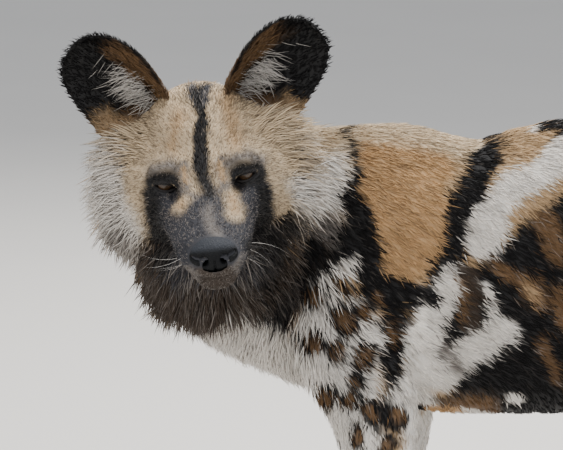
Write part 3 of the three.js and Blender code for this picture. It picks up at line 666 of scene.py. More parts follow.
def stroke_cover(places, half, soft, line):
    """How much of each place in the frame a stroke covers: half its width, how soft, its points."""
    line = np.array(line, float).reshape(-1, 2)
    nearest = np.full(len(places), 1e9)
    for a, b in zip(line[:-1], line[1:]):
        t = np.clip((places - a) @ (b - a) / max((b - a) @ (b - a), 1e-9), 0, 1)
        nearest = np.minimum(nearest, np.linalg.norm(places - a - t[:, None] * (b - a), axis=1))
    return 1 - ease(nearest, half - soft / 2, half + soft / 2)


def plain(points, pigment):
    return np.tile(pigment, (len(points), 1))


def lay(colour, pigment, cover):
    """A pigment laid over a colour, as far as cover lets it."""
    return colour + (pigment - colour) * cover[:, None]


def paint(colour, places, marks, pigments, share=1.0):
    """A colour with a set of marks laid over it, each as far as share lets it."""
    for pigment, half, soft, *line in marks.values():
        colour = lay(colour, pigments[pigment], stroke_cover(places, half, soft, line) * share)
    return colour


def blotches(points, pigments, ground, seed, size, light):
    """Irregular black, white and ochre patches on a ground, where the photograph shows none."""
    one, two, three = (waves(points, size * s, seed + i) for i, s in enumerate((1, 0.8, 0.5)))
    colour = lay(plain(points, pigments[ground]), pigments["black"], ease(one, -0.35, -0.2))
    colour = lay(colour, pigments["white"], ease(two + light, 0.75, 0.9))
    return lay(colour, pigments["ochre"], ease(three, 0.7, 0.85) * ease(one, -0.2, 0.3))


def body_colour(points, places, ragged, pigments):
    x, _, z = points.T
    colour = paint(plain(points, pigments["tan"]), places, BODY_MARKS, pigments)
    for across, down, size in RINGED_SPOTS:
        spot = (across, down - 1, across, down + 1)
        colour = lay(colour, pigments["black"], stroke_cover(places, size + 1, 4, spot))
        colour = lay(colour, pigments["brown"], stroke_cover(places, size * 0.55, 5, spot))
    rump = blotches(points, pigments, "black", 31, 75, 0.55)
    rump = lay(rump, pigments["ochre"], ease(waves(points, 80, 40), 0.35, 0.5))
    colour = lay(colour, rump, ease(x + 34 * waves(points, 60, 21), *RUMP_EDGE))
    legs = plain(points, pigments["white"])
    legs = lay(legs, pigments["black"], ease(waves(points, 42, 51), 0.45, 0.6))
    legs = lay(legs, pigments["ochre"], ease(waves(points, 34, 52), 0.8, 0.95))
    colour = lay(colour, legs, ease(z + 26 * waves(points, 50, 22), *LEG_EDGE))
    drop = (TAIL_ROOT_Z - z) / TAIL_LENGTH
    tail = lay(plain(points, pigments["ochre"]), pigments["black"], ease(drop, *TAIL_BLACK))
    tail = lay(tail, pigments["white"], ease(drop + ragged * 0.006, *TAIL_WHITE))
    return lay(colour, tail, ease(x, *TAIL_EDGE))


def head_colour(points, q, places, toward, pigments):
    f, l, u = q.T
    colour = lay(plain(points, pigments["cream"]), pigments["umber"], ease(u, -58, -84))
    muzzle = ease(f, *MASK_BACK) * ease(u - 0.5 * np.abs(l), *MASK_TOP)
    colour = lay(colour, pigments["slate"], muzzle)
    colour = lay(colour, pigments["black"], muzzle * ease(np.abs(u - MOUTH_LEVEL), 9, 3))
    return paint(colour, places, HEAD_MARKS, pigments, ease(toward, -0.15, 0.15))


def unseen(points, places, away):
    """The parts of the neck and breast that the photograph doesn't show, with ragged edges."""
    x, y, z = points.T
    share = ease(y, 0, 30) * ease(x, -60, -120) * away
    share = np.maximum(share, ease(x, -190, -215) * ease(z, 575, 540) * away)
    behind_head = ease(places[:, 0], 288, 272) * ease(places[:, 1], 262, 244)
    share = np.maximum(share, behind_head * ease(z, 540, 560))
    return ease(share + 0.3 * waves(points, 40, 23), 0.48, 0.54)


def pelt(points, normals, pigments):
    """The coat's colour at places on the skin."""
    x, y, z = points.T
    q = to_head(points)
    toward = -(normals @ VIEW)
    away = np.where(toward > -0.2, 0.0, 1.0)
    broad = np.stack([waves(points, 26, 5), waves(points, 26, 6)], 1)
    fine = np.stack([waves(points, 8, 7), waves(points, 8, 8)], 1)
    jitter = broad * 4 + fine * 1.6
    # The far side has the near side's kind of bands, set off from them
    mirrored = [x + (26 * np.sin(z / 70) + 16), -np.abs(y), z + 16 * np.sin(x / 60)]
    mirrored = np.stack(mirrored, 1)
    places = in_frame(np.where((y > FAR_SIDE)[:, None], mirrored, points)) + jitter
    body = body_colour(points, places, jitter[:, 0], pigments)
    banded = blotches(points, pigments, "tan", 81, 80, 0.1)
    body = lay(body, banded, unseen(points, places, away))
    f, _, u = q.T
    throat = ease(u, -60, -80) * away * ease(f, -120, -60) * ease(u, -170, -140)
    body = lay(body, pigments["umber"], throat)
    face = head_colour(points, q, in_frame(points) + jitter * 0.55, toward, pigments)
    colour = lay(body, face, ease(head_part(q), -3, 10))
    return colour * (1 + 0.07 * waves(points, 11, 91) + 0.06 * waves(points, 34, 92))[:, None]


# The lie of the coat
def lie_of(points, normals):
    """Which way the coat lies at each place, along the skin."""
    q = to_head(points)
    _, l, u = q.T
    cheek = ease(np.abs(l), 25, 60)
    below = ease(u, -30, -75)
    back, out = -1 + 0.35 * below, np.sign(l + 1e-6) * (0.15 + 0.6 * cheek)
    head = unit(np.stack([back, out, 0.35 - 0.75 * cheek - 0.9 * below], 1)) @ HEAD
    x, y, z = points.T
    side, none = np.sign(y + 1e-6), 0 * x
    chest = ease(x, -60, -150) * ease(z, 560, 470)
    down = -0.35 - 0.9 * chest - 0.3 * ease(np.abs(y), 30, 90)
    flow = unit(np.stack([1 - 1.1 * chest, 0.1 * side, down], 1))
    ways = (0.12, 0, -1), (-0.9, 0, -0.45), (0.1, 0.12, -1)
    leg, foot, tail = (np.stack([none + a, side * b, none + c], 1) for a, b, c in ways)
    for lie, share in ((leg, ease(z, 430, 360)), (foot, ease(z, 60, 35)),
                       (tail, ease(x, 505, 540))):
        flow = blend(flow, lie, share)
    flow = blend(unit(flow), head, ease(head_part(q), -20, 14))
    return unit(across_normals(flow, normals) + 1e-6)


def coat_length(points, sizes):
    """The hairs' length at each place, in millimetres."""
    q = to_head(points)
    f, l, u = q.T
    x, _, z = points.T
    face = sizes.face_hair * (0.6 + 0.4 * ease(f, 60, 20))
    face = face * (0.5 + 0.5 * ease(eye_distance(q), 12, 26))
    face = face + (sizes.crown_hair - sizes.face_hair) * ease(f, -15, -60)
    ruff = ease(f, -25, -55) * ease(np.abs(l), 40, 66)
    throat = ease(u, -58, -82) * ease(f, 25, -20)
    face = face + (sizes.ruff_hair - face) * np.maximum(ruff, throat)
    face = face * (1 + 0.25 * ruff * ease(u, -70, -40) * ease(u, 50, 20))
    body = sizes.leg_hair + (sizes.body_hair - sizes.leg_hair) * ease(z, 330, 440)
    for length, share in ((sizes.neck_hair, ease(x, -80, -150)), (sizes.paw_hair, ease(z, 70, 50)),
                          (sizes.tail_hair, ease(x, 520, 560)), (face, ease(head_part(q), -16, 4))):
        body = body + (length - body) * share
    return body


def scatter(vertices, normals, faces, spacing, seed):
    """Evenly drawn places on a mesh of quads, spacing apart, with their normals."""
    draw = np.random.default_rng(seed)
    triangles = np.vstack([faces[:, [0, 1, 2]], faces[:, [0, 2, 3]]])
    a, b, c = (vertices[triangles[:, i]] for i in range(3))
    area = np.linalg.norm(np.cross(b - a, c - a), axis=1) / 2
    weight = np.cumsum(area / spacing[triangles].mean(1) ** 2)
    count = int(weight[-1])
    level = (np.arange(count) + draw.random(count)) / count * weight[-1]
    pick = np.minimum(np.searchsorted(weight, level), len(triangles) - 1)
    s, t = np.sqrt(draw.random(count)), draw.random(count)
    shares = np.stack([1 - s, s * (1 - t), s * t], 1)[:, :, None]
    corners = triangles[pick]
    return (vertices[corners] * shares).sum(1), unit((normals[corners] * shares).sum(1))


def clump_pull(roots, normals, clump, draw):
    """From each root towards the middle of its clump, along the skin."""
    cell = np.floor((roots + draw.normal(0, 1, roots.shape)) / clump).astype(np.int64)
    _, group = np.unique(cell @ CELL_PRIMES, return_inverse=True)
    members = np.bincount(group).astype(float)
    centre = np.stack([np.bincount(group, roots[:, i]) for i in range(3)], 1) / members[:, None]
    return across_normals((centre[group] - roots) * CLUMP_SHARE, normals)


def tuft_faces(count, rings):
    """The triangles of many closed three-sided spikes, and how many points each spike has."""
    pattern = [(0, 2, 1)]
    for k in range(rings):
        for j in range(3):
            here, beside = k * 3 + j, k * 3 + (j + 1) % 3
            if k == rings - 1:
                pattern.append((here, beside, rings * 3))
            else:
                pattern += [(here, beside, beside + 3), (here, beside + 3, here + 3)]
    per = rings * 3 + 1
    faces = (np.arange(count) * per)[:, None, None] + np.array(pattern)[None]
    return faces.reshape(-1, 3), per


def grow(roots, normals, flow, length, width, lift, colours, seed, rings=2, droop=0.0, clump=10.0,
         tip_colours=None):
    """Closed three-sided spikes for locks of hair: points, triangles, colours with painted shade
    towards the root, and points each.
    """
    draw = np.random.default_rng(seed)
    count = len(roots)
    width = np.broadcast_to(width, count)
    turn = draw.normal(0, STRAY, count)
    side = np.cross(normals, flow)
    flow = flow * np.cos(turn)[:, None] + side * np.sin(turn)[:, None]
    side = np.cross(normals, flow)
    length = length * draw.uniform(0.72, 1.18, count)
    lift = lift * draw.uniform(0.6, 1.4, count)
    pull = clump_pull(roots, normals, clump, draw)
    vertices = np.zeros((count, rings * 3 + 1, 3))
    root_shaded_colours = np.zeros_like(vertices)
    tone = draw.uniform(0.9, 1.08, count)[:, None]
    tips = colours if tip_colours is None else tip_colours
    for k, s in enumerate(np.linspace(0, 1, rings + 1)):
        rise = np.sin(lift) * (s - 0.35 * s * s) * length - ROOT_SINK * (s == 0)
        place = roots + flow * (np.cos(lift) * s * length)[:, None] + normals * rise[:, None]
        place = place + pull * s**1.5
        place[:, 2] -= droop * length * s * s
        # Colour runs from root to tip; the factor 0.8 + 0.24 * s is painted shade, darkest at the
        # root
        shade = (colours * (1 - s) + tips * s) * tone * (0.8 + 0.24 * s)
        if k == rings:
            vertices[:, -1], root_shaded_colours[:, -1] = place, shade
            break
        for j in range(3):
            angle = math.pi / 2 + j * 2 * math.pi / 3
            across = side * math.cos(angle) + normals * (math.sin(angle) * 0.5)
            vertices[:, k * 3 + j] = place + across * (width * GIRTHS[rings][k] / 2)[:, None]
            root_shaded_colours[:, k * 3 + j] = shade
    faces, per = tuft_faces(count, rings)
    return vertices.reshape(-1, 3), faces, root_shaded_colours.reshape(-1, 3), per


def turn_round(across, along):
    """The angle round an axis, from 0 to 1."""
    return np.arctan2(across, along) / (2 * math.pi) + 0.5


def unwrap(points):
    """A place in the unit square for each place on the skin, with a tile for each of its parts."""
    q = to_head(points)
    x, y, z = points.T
    tiles = np.stack([0.02 + 0.5 * (x + 230) / 800, 0.02 + 0.46 * turn_round(y, z - 520)], 1)
    near = head_part(q) > 0
    turn = turn_round(q[:, 1], q[:, 2] + 30)
    head = np.stack([0.02 + 0.46 * turn, 0.52 + 0.44 * (q[:, 0] + 95) / 210], 1)
    tiles[near] = head[near]
    low = z < 390
    hind = x > 150
    middle = np.where(hind, np.interp(z, [0, 200, 300, 400], [465, 490, 428, 388]),
                      np.interp(z, [0, 200, 400], [-70, -58, -65]))
    turn = turn_round(y - np.sign(y) * FORELEG_Y, x - middle)
    legs = np.stack([0.54 + 0.11 * (hind * 2 + (y > 0)) + 0.1 * turn, 0.52 + 0.44 * z / 400], 1)
    tiles[low] = legs[low]
    hanging = (x > 535) & (z < 560)
    turn = turn_round(y, x - np.interp(z, [200, 400, 560], [596, 594, 530]))
    tail = np.stack([0.6 + 0.3 * turn, 0.04 + 0.4 * (z - 180) / 400], 1)
    tiles[hanging] = tail[hanging]
    return np.clip(tiles, 0.002, 0.998)


def tuft_places(roots, per):
    """Each tuft's patch round its root's place."""
    corners = np.zeros((per, 2))
    for i in range(per - 1):
        angle = 2 * math.pi * (i % 3) / 3
        size = PATCH / 2 * (1 - 0.5 * (i // 3) / max(per // 3, 1))
        corners[i] = (size * math.cos(angle), size * math.sin(angle))
    return (roots[:, None, :] + corners[None]).reshape(-1, 2)


# Making pieces
def add_object(name, data):
    thing = bpy.data.objects.new(name, data)
    bpy.context.scene.collection.objects.link(thing)
    return thing


def make_piece(name, points, faces, material, colours=None, places=None, replaces=(),
               extra=None):
    """A smooth piece that rides on the body, with its colours, unwrap and other values."""
    mesh = bpy.data.meshes.new(name)
    mesh.vertices.add(len(points))
    mesh.vertices.foreach_set("co", to_row(points).astype(np.float32).ravel())
    mesh.loops.add(faces.size)
    mesh.loops.foreach_set("vertex_index", faces.astype(np.int32).ravel())
    mesh.polygons.add(len(faces))
    starts = np.arange(0, faces.size, faces.shape[1], dtype=np.int32)
    mesh.polygons.foreach_set("loop_start", starts)
    mesh.polygons.foreach_set("use_smooth", np.ones(len(faces), bool))
    mesh.update(calc_edges=True)
    if colours is not None:
        rgba = np.concatenate([np.clip(colours, 0, 1), np.ones((len(colours), 1))], 1)
        attribute = mesh.attributes.new("pelt", "FLOAT_COLOR", "POINT")
        attribute.data.foreach_set("color", rgba.astype(np.float32).ravel())
    for key, values in (extra or {}).items():
        attribute = mesh.attributes.new(key, "FLOAT", "POINT")
        attribute.data.foreach_set("value", np.asarray(values, np.float32))
    if places is not None:
        layer = mesh.uv_layers.new(name="OFBake")
        layer.data.foreach_set("uv", places[faces.ravel()].astype(np.float32).ravel())
    piece = add_object(name, mesh)
    mesh.materials.append(material)
    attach(piece, "root")
    if replaces:
        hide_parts(*replaces)


def tuft_piece(name, slot, roots, places, *grown, **how):
    """A piece of tufts on the roots, each unwrapped round its root's place."""
    points, triangles, root_shaded_colours, per = grow(roots, *grown, **how)
    make_piece(name, points, triangles, coat_material(), root_shaded_colours, tuft_places(places, per))


# Shader maths
class Wire:
    """A socket that takes part in a material's maths."""

    def __init__(self, recipe, socket):
        self.recipe, self.socket = recipe, socket

    def work(self, operation, other, swapped=False):
        pair = [other, self] if swapped else [self, other]
        return self.recipe.node("ShaderNodeMath", {"operation": operation}, dict(enumerate(pair)))

    def __add__(self, other):
        return self.work("ADD", other)

    def __sub__(self, other):
        return self.work("SUBTRACT", other)

    def __rsub__(self, other):
        return self.work("SUBTRACT", other, True)

    def __mul__(self, other):
        return self.work("MULTIPLY", other)

    __radd__ = __add__
    __rmul__ = __mul__


class Recipe:
    """A tree of nodes that is being made: a material's finish, or a group for geometry."""

    def __init__(self, name, group=False):
        if group:
            self.tree = bpy.data.node_groups.new(name, "GeometryNodeTree")
            return
        self.material = bpy.data.materials.new(name)
        self.material.use_nodes = True
        self.tree = self.material.node_tree
        self.tree.nodes.clear()
        self.coords = self.node("ShaderNodeTexCoord", output="Object")

    def node(self, kind, settings=None, inputs=None, output=0):
        made = self.tree.nodes.new(kind)
        for key, value in (settings or {}).items():
            if key == "stops":
                for stop, (place, colour) in enumerate(value):
                    ramp = made.color_ramp.elements
                    element = ramp[stop] if stop < len(ramp) else ramp.new(place)
                    element.position, element.color = place, (*colour, 1)
            else:
                setattr(made, key, value)
        for key, value in (inputs or {}).items():
            socket = made.inputs[key]
            if isinstance(value, Wire):
                self.tree.links.new(value.socket, socket)
            else:
                socket.default_value = value
        return Wire(self, made.outputs[output]) if len(made.outputs) else None

    def noise(self, scale, detail=2.0):
        inputs = {"Vector": self.coords, "Scale": scale, "Detail": detail}
        return self.node("ShaderNodeTexNoise", {}, inputs)

    def mix(self, factor, a, b, blend="MIX"):
        """Colour b over colour a; a colour is a wire or its red, green and blue."""
        a, b = (v if isinstance(v, Wire) else (*v, 1) for v in (a, b))
        settings = {"data_type": "RGBA", "blend_type": blend}
        return self.node("ShaderNodeMix", settings, {"Factor": factor, 6: a, 7: b}, 2)

    def attribute(self, name, output="Color"):
        return self.node("ShaderNodeAttribute", {"attribute_name": name}, output=output)

    def bump(self, height, strength, distance):
        inputs = {"Height": height, "Strength": strength, "Distance": distance}
        return self.node("ShaderNodeBump", {}, inputs)

    def finish(self, **inputs):
        named = {key.replace("_", " "): value for key, value in inputs.items()}
        shader = self.node("ShaderNodeBsdfPrincipled", {}, named)
        self.node("ShaderNodeOutputMaterial", {}, {"Surface": shader})
        return self.material


def coat_material():
    if "coat" in bpy.data.materials:
        return bpy.data.materials["coat"]
    recipe = Recipe("coat")
    fine, broad = recipe.noise(420, 2.0), recipe.noise(30, 3.0)
    worn = recipe.mix(fine * 0.55, recipe.attribute("pelt"), (0.55, 0.52, 0.5), "MULTIPLY")
    tinted = recipe.mix(broad * 0.3, worn, (0.86, 0.78, 0.7), "MULTIPLY")
    normal = recipe.bump(fine, 0.25, 0.0005)
    return recipe.finish(Base_Color=tinted, Roughness=0.62 + 0.16 * broad, Normal=normal,
                         Specular_IOR_Level=0.12)


def skin_material(name):
    recipe = Recipe(name)
    fine, hairs = recipe.noise(700, 3.0), recipe.noise(160, 2.0)
    base = recipe.mix(fine * 0.7, recipe.attribute("pelt"), (0.45, 0.42, 0.4), "MULTIPLY")
    normal = recipe.bump(fine + hairs * 0.6, 0.5, 0.0008)
    return recipe.finish(Base_Color=base, Roughness=0.6 + 0.2 * fine, Normal=normal,
                         Specular_IOR_Level=0.3)


def leather_material(name, low, high, scale, rough, strength, painted=False):
    recipe = Recipe(name)
    cells = recipe.node("ShaderNodeTexVoronoi", {}, {"Vector": recipe.coords, "Scale": scale})
    broad = recipe.noise(90, 3.0)
    colour = recipe.mix(broad, low, high)
    if painted:
        colour = recipe.mix(1.0, colour, recipe.attribute("pelt"), "MULTIPLY")
    normal = recipe.bump(1 - cells, strength, 0.0006)
    return recipe.finish(Base_Color=colour, Roughness=rough + 0.15 * cells, Normal=normal,
                         Specular_IOR_Level=0.16)


def eye_material(iris):
    recipe = Recipe("eye_amber")
    ring, turn = recipe.attribute("ring", "Fac"), recipe.attribute("spoke", "Fac")
    rays = recipe.node("ShaderNodeTexNoise", {"noise_dimensions": "1D"},
                       {"W": turn * 14.0, "Scale": 3.0})
    # From the pupil over the iris to its dark rim
    stops = [(0.0, (0.004, 0.004, 0.005)), (0.3, (0.005, 0.005, 0.005)),
             (0.34, (0.05, 0.027, 0.012)), (0.6, tuple(iris)), (0.86, (0.06, 0.032, 0.014)),
             (0.95, (0.012, 0.009, 0.008))]
    colour = recipe.node("ShaderNodeValToRGB", {"stops": stops}, {0: ring + (rays - 0.5) * 0.05})
    colour = recipe.mix(rays * 0.5, colour, (0.45, 0.35, 0.25), "MULTIPLY")
    return recipe.finish(Base_Color=colour, Roughness=0.3 + 0.1 * rays, Coat_Weight=0.45,
                         Coat_Roughness=0.06, Specular_IOR_Level=0.3)


def horn_material():
    recipe = Recipe("claw_horn")
    grain = recipe.noise(260, 4.0)
    colour = recipe.mix(grain, (0.03, 0.024, 0.02), (0.14, 0.11, 0.085))
    normal = recipe.bump(grain, 0.3, 0.0004)
    return recipe.finish(Base_Color=colour, Roughness=0.38 + 0.2 * grain, Normal=normal)


def hair_material(name, low, high):
    recipe = Recipe(name)
    grain = recipe.noise(120, 2.0)
    return recipe.finish(Base_Color=recipe.mix(grain, low, high), Roughness=0.4 + 0.2 * grain)


def floor_material(colour):
    recipe = Recipe("studio_floor")
    grain = recipe.noise(3.0, 3.0)
    shade = recipe.mix(grain, colour, colour * 0.95)
    return recipe.finish(Base_Color=shade, Roughness=0.8)


# Sizes and colours that a user would change
def hair_property(name, default, description):
    return bpy.props.FloatProperty(name=name, description=description + ", in mm",
                                   default=default, min=0.5, max=120.0)


def length_property(name, default, description, low, high):
    return bpy.props.FloatProperty(name=name, description=description, default=default, min=low,
                                   max=high, unit="LENGTH")


def pigment_property(name, colour, description):
    return bpy.props.FloatVectorProperty(name=name, description=description, default=colour,
                                         subtype="COLOR", size=3, min=0.0, max=1.0)


class WILDDOG_PG_sizes(bpy.types.PropertyGroup):
    """Lengths of the coat in millimetres, and of whiskers and lashes"""

    face_hair: hair_property("Face Hair", 6.0, "Hair length on the muzzle and brow")
    crown_hair: hair_property("Crown Hair", 11.0, "Hair length on the crown")
    ruff_hair: hair_property("Ruff Hair", 44.0, "Hair length on the cheeks' ruff and the throat")
    neck_hair: hair_property("Neck Hair", 27.0, "Hair length on the neck")
    body_hair: hair_property("Body Hair", 17.0, "Hair length on the trunk")
    leg_hair: hair_property("Leg Hair", 9.0, "Hair length on the legs")
    paw_hair: hair_property("Paw Hair", 5.0, "Hair length on the feet")
    tail_hair: hair_property("Tail Hair", 52.0, "Hair length on the tail's brush")
    whisker: length_property("Whisker Length", 0.032, "Length of a whisker", 0.005, 0.1)
    lash: length_property("Lash Length", 0.009, "Length of an eyelash", 0.001, 0.03)


class WILDDOG_PG_colours(bpy.types.PropertyGroup):
    """Pigments of the coat, eyes and nose"""

    tan: pigment_property("Tan", (0.5, 0.345, 0.195), "Tan of the back and brow")
    ochre: pigment_property("Ochre", (0.5, 0.31, 0.15), "Ochre of the shoulder")
    cream: pigment_property("Cream", (0.62, 0.49, 0.33), "Cream of the brow and nape")
    white: pigment_property("White", (0.86, 0.825, 0.77), "White of the ruff, chest and bands")
    black: pigment_property("Black", (0.007, 0.0065, 0.007), "Black of the bands and ears")
    slate: pigment_property("Slate", (0.034, 0.035, 0.043), "Slate of the muzzle")
    grizzle: pigment_property("Grizzle", (0.2, 0.18, 0.165), "Grizzled grey of the brows")
    umber: pigment_property("Umber", (0.055, 0.04, 0.03), "Dark brown of the throat")
    brown: pigment_property("Brown", (0.17, 0.1, 0.05), "Brown of the spots")
    iris: pigment_property("Iris", (0.04, 0.023, 0.011), "Amber of the eyes")
    nose: pigment_property("Nose", (0.02, 0.0225, 0.028), "Leather of the nose")
    floor: pigment_property("Floor", (0.7, 0.68, 0.65), "The studio's floor")


def settings():
    """The sizes and the pigments as the panel has them."""
    scene = bpy.context.scene
    names = WILDDOG_PG_colours.__annotations__
    pigments = {name: np.array(getattr(scene.wilddog_colours, name)) for name in names}
    return scene.wilddog_sizes, pigments


# The head's and the body's skin, as the coat finds them: points, normals and quads
SKIN = {}


def flecked(colour, flecks, seed, pigments):
    """The colours with some hairs of another pigment among them."""
    tone = colour.mean(1)
    chance = flecks * np.where(tone > 0.5, 0.5, 1)
    drawn = np.random.default_rng(seed + 5).random(len(colour)) < chance
    other = np.where((tone > 0.15)[:, None], pigments["umber"], pigments["grizzle"] * 1.5)
    share = np.where(tone > 0.02, 0.5, 0.12)
    return lay(colour, other, share * drawn)


def coat_piece(name, mask, source, spacing, lift, slot, seed, width, tips=None, flecks=0.08,
               mixing=2.2, rings=2, **how):
    """Tufts over the faces of a skin that a mask picks, in pieces of a moderate size."""
    sizes, pigments = settings()
    vertices, normals, faces = SKIN[source]
    gap = np.broadcast_to(spacing, (len(vertices),))
    roots, up = scatter(vertices, normals, faces[mask[faces].all(1)], gap, seed)
    q = to_head(roots)
    at_eye = (q[:, 0] > EYE_BACK) & (np.abs(np.abs(q[:, 1]) - EYE_SIDE) < 16)
    bare = (eye_opening(q, 1.4) < 0) & at_eye | (nose_form(q) < 1.0)
    keep = ~bare & (roots[:, 2] > 2)
    roots, up = roots[keep], up[keep]
    length, flow = coat_length(roots, sizes), lie_of(roots, up)
    mingle = np.random.default_rng(seed + 3).normal(0, mixing, roots.shape)
    colour = pelt(roots + flow * (0.5 * length)[:, None] + mingle, up, pigments)
    colour = flecked(colour, flecks, seed, pigments)
    tip_colours = colour
    if tips:
        share = np.random.default_rng(seed + 9).random(len(roots)) ** 2
        tip_colours = lay(colour, pigments[tips], 0.55 * share)
    order = np.argsort(roots[:, 0], kind="stable")
    tris = 4 + 6 * (rings - 1)
    parts = max(1, math.ceil(len(roots) * tris / PIECE_TRIANGLES))
    for part, rows in enumerate(np.array_split(order, parts)):
        label = name if parts == 1 else f"{name}_{part + 1}"
        root, long = roots[rows], length[rows]
        tuft_piece(label, slot, root, unwrap(root), up[rows], flow[rows], long,
                   width[0] + width[1] * long, lift, colour[rows], seed + part, rings,
                   tip_colours=tip_colours[rows], **how)


class WILDDOG_OT_skin(bpy.types.Operator):
    """Make the skin under the coat"""

    bl_idname = "wilddog.skin"
    bl_label = "Skin"

    def execute(self, context):
        _, pigments = settings()
        points, head_quads = shell(head_skin, *HEAD_SPAN, 2.0, 4)
        points, slopes = settle(points, head_skin, 1.2)
        SKIN["head"] = head = (from_head(points), slopes @ HEAD, head_quads)
        points, body_quads = shell(body_skin, *BODY_SPAN, 5.0, 3)
        points, slopes = settle(points, body_skin, 3.0)
        SKIN["body"] = (points, slopes, body_quads)
        points, slopes = np.vstack([head[0], points]), np.vstack([head[1], slopes])
        quads = np.vstack([head_quads, body_quads + len(head[0])])
        # The skin has the coat's colour, darkened to 0.8 by painted shade as at the tufts' roots
        colour = pelt(points, slopes, pigments) * 0.8
        make_piece("skin", points, quads, skin_material("skin_under_coat"), colour,
                   unwrap(points), FLESH_NODES)
        return {"FINISHED"}


def ear_grid(name, rows=30, columns=26, thick=1.7):
    """Both faces of an ear, its normals, and how far up and across it each point is."""
    root, along, outward = (np.array(v, float) for v in EARS[name])
    along = unit(along)
    outward = unit(outward - (outward @ along) * along)
    opening = np.cross(outward, along)
    opening = opening * np.sign(opening[0])
    table = smooth_path([[*row, 0] for row in EAR_ROWS], 4)
    stops = np.arange(len(table))
    level = np.linspace(0, len(table) - 1, rows)
    up, inner, outer, depth = (np.interp(level, stops, table[:, i]) for i in range(4))
    up, w = np.meshgrid(up, np.linspace(0, 1, columns), indexing="ij")
    inner, outer, depth = (np.repeat(v[:, None], columns, 1) for v in (inner, outer, depth))
    hollow = (np.abs(2 * w - 1) ** 2.2 - 1) * depth * EAR_WIDTH
    middle = root + along * (up * EAR_LENGTH)[..., None]
    middle = middle + outward * ((inner + (outer - inner) * w) * EAR_WIDTH)[..., None]
    middle = middle + opening * hollow[..., None]
    normal = unit(np.cross(np.gradient(middle, axis=0), np.gradient(middle, axis=1)) + 1e-9)
    normal = normal * np.sign((normal @ opening).mean())
    edge = np.minimum(1, np.minimum(w, 1 - w) * 8 + 0.25)[..., None]
    return middle + normal * thick * edge, middle - normal * thick * edge, normal, up, w


def ear_mesh(name):
    """An ear as a closed mesh: points, normals, quads, and each point's up, across and face."""
    front, back, normal, up, w = ear_grid(name)
    count = up.size
    index = np.arange(count).reshape(up.shape)
    corners = index[:-1, :-1], index[:-1, 1:], index[1:, 1:], index[1:, :-1]
    sheet = np.stack(corners, -1).reshape(-1, 4)
    loop = np.concatenate([index[0, :-1], index[:-1, -1], index[-1, :0:-1], index[:0:-1, 0]])
    after = np.roll(loop, -1)
    rim = np.stack([after, loop, loop + count, after + count], 1)
    quads = np.vstack([sheet, sheet[:, ::-1] + count, rim])
    points = np.vstack([front.reshape(-1, 3), back.reshape(-1, 3)])
    normal = normal.reshape(-1, 3)
    first = points[sheet[0]]
    if np.cross(first[1] - first[0], first[2] - first[0]) @ normal[0] < 0:
        quads = quads[:, ::-1]
    face = np.repeat([1.0, 0.0], count)
    data = np.column_stack([np.tile(up.ravel(), 2), np.tile(w.ravel(), 2), face])
    return points, np.vstack([normal, -normal]), quads, data


def ear_colour(points, data, pigments):
    up, w, face = data.T
    rough = waves(points, 14, 61) * 0.06
    inner = ease(w + rough, 0.42, 0.26) * ease(w, 0.01, 0.05) * ease(up + rough, 0.78, 0.5) * face
    foot = ease(up + rough, 0.14, 0.04) * face * 0.8
    lobe = ease(up + rough, 0.3, 0.2) * ease(w + rough, 0.74, 0.86)
    behind = (1 - face) * ease(up + rough, 0.45, 0.1)
    colour = lay(plain(points, pigments["black"]), pigments["brown"], np.maximum(inner, foot))
    colour = lay(colour, pigments["tan"], lobe * 0.7)
    return lay(colour, pigments["brown"], behind * 0.8)


def nearest_of(points, others):
    """The number of the nearest other point to each point."""
    tree = KDTree(len(others))
    for i, other in enumerate(others):
        tree.insert(other, i)
    tree.balance()
    return np.array([tree.find(p)[1] for p in points])


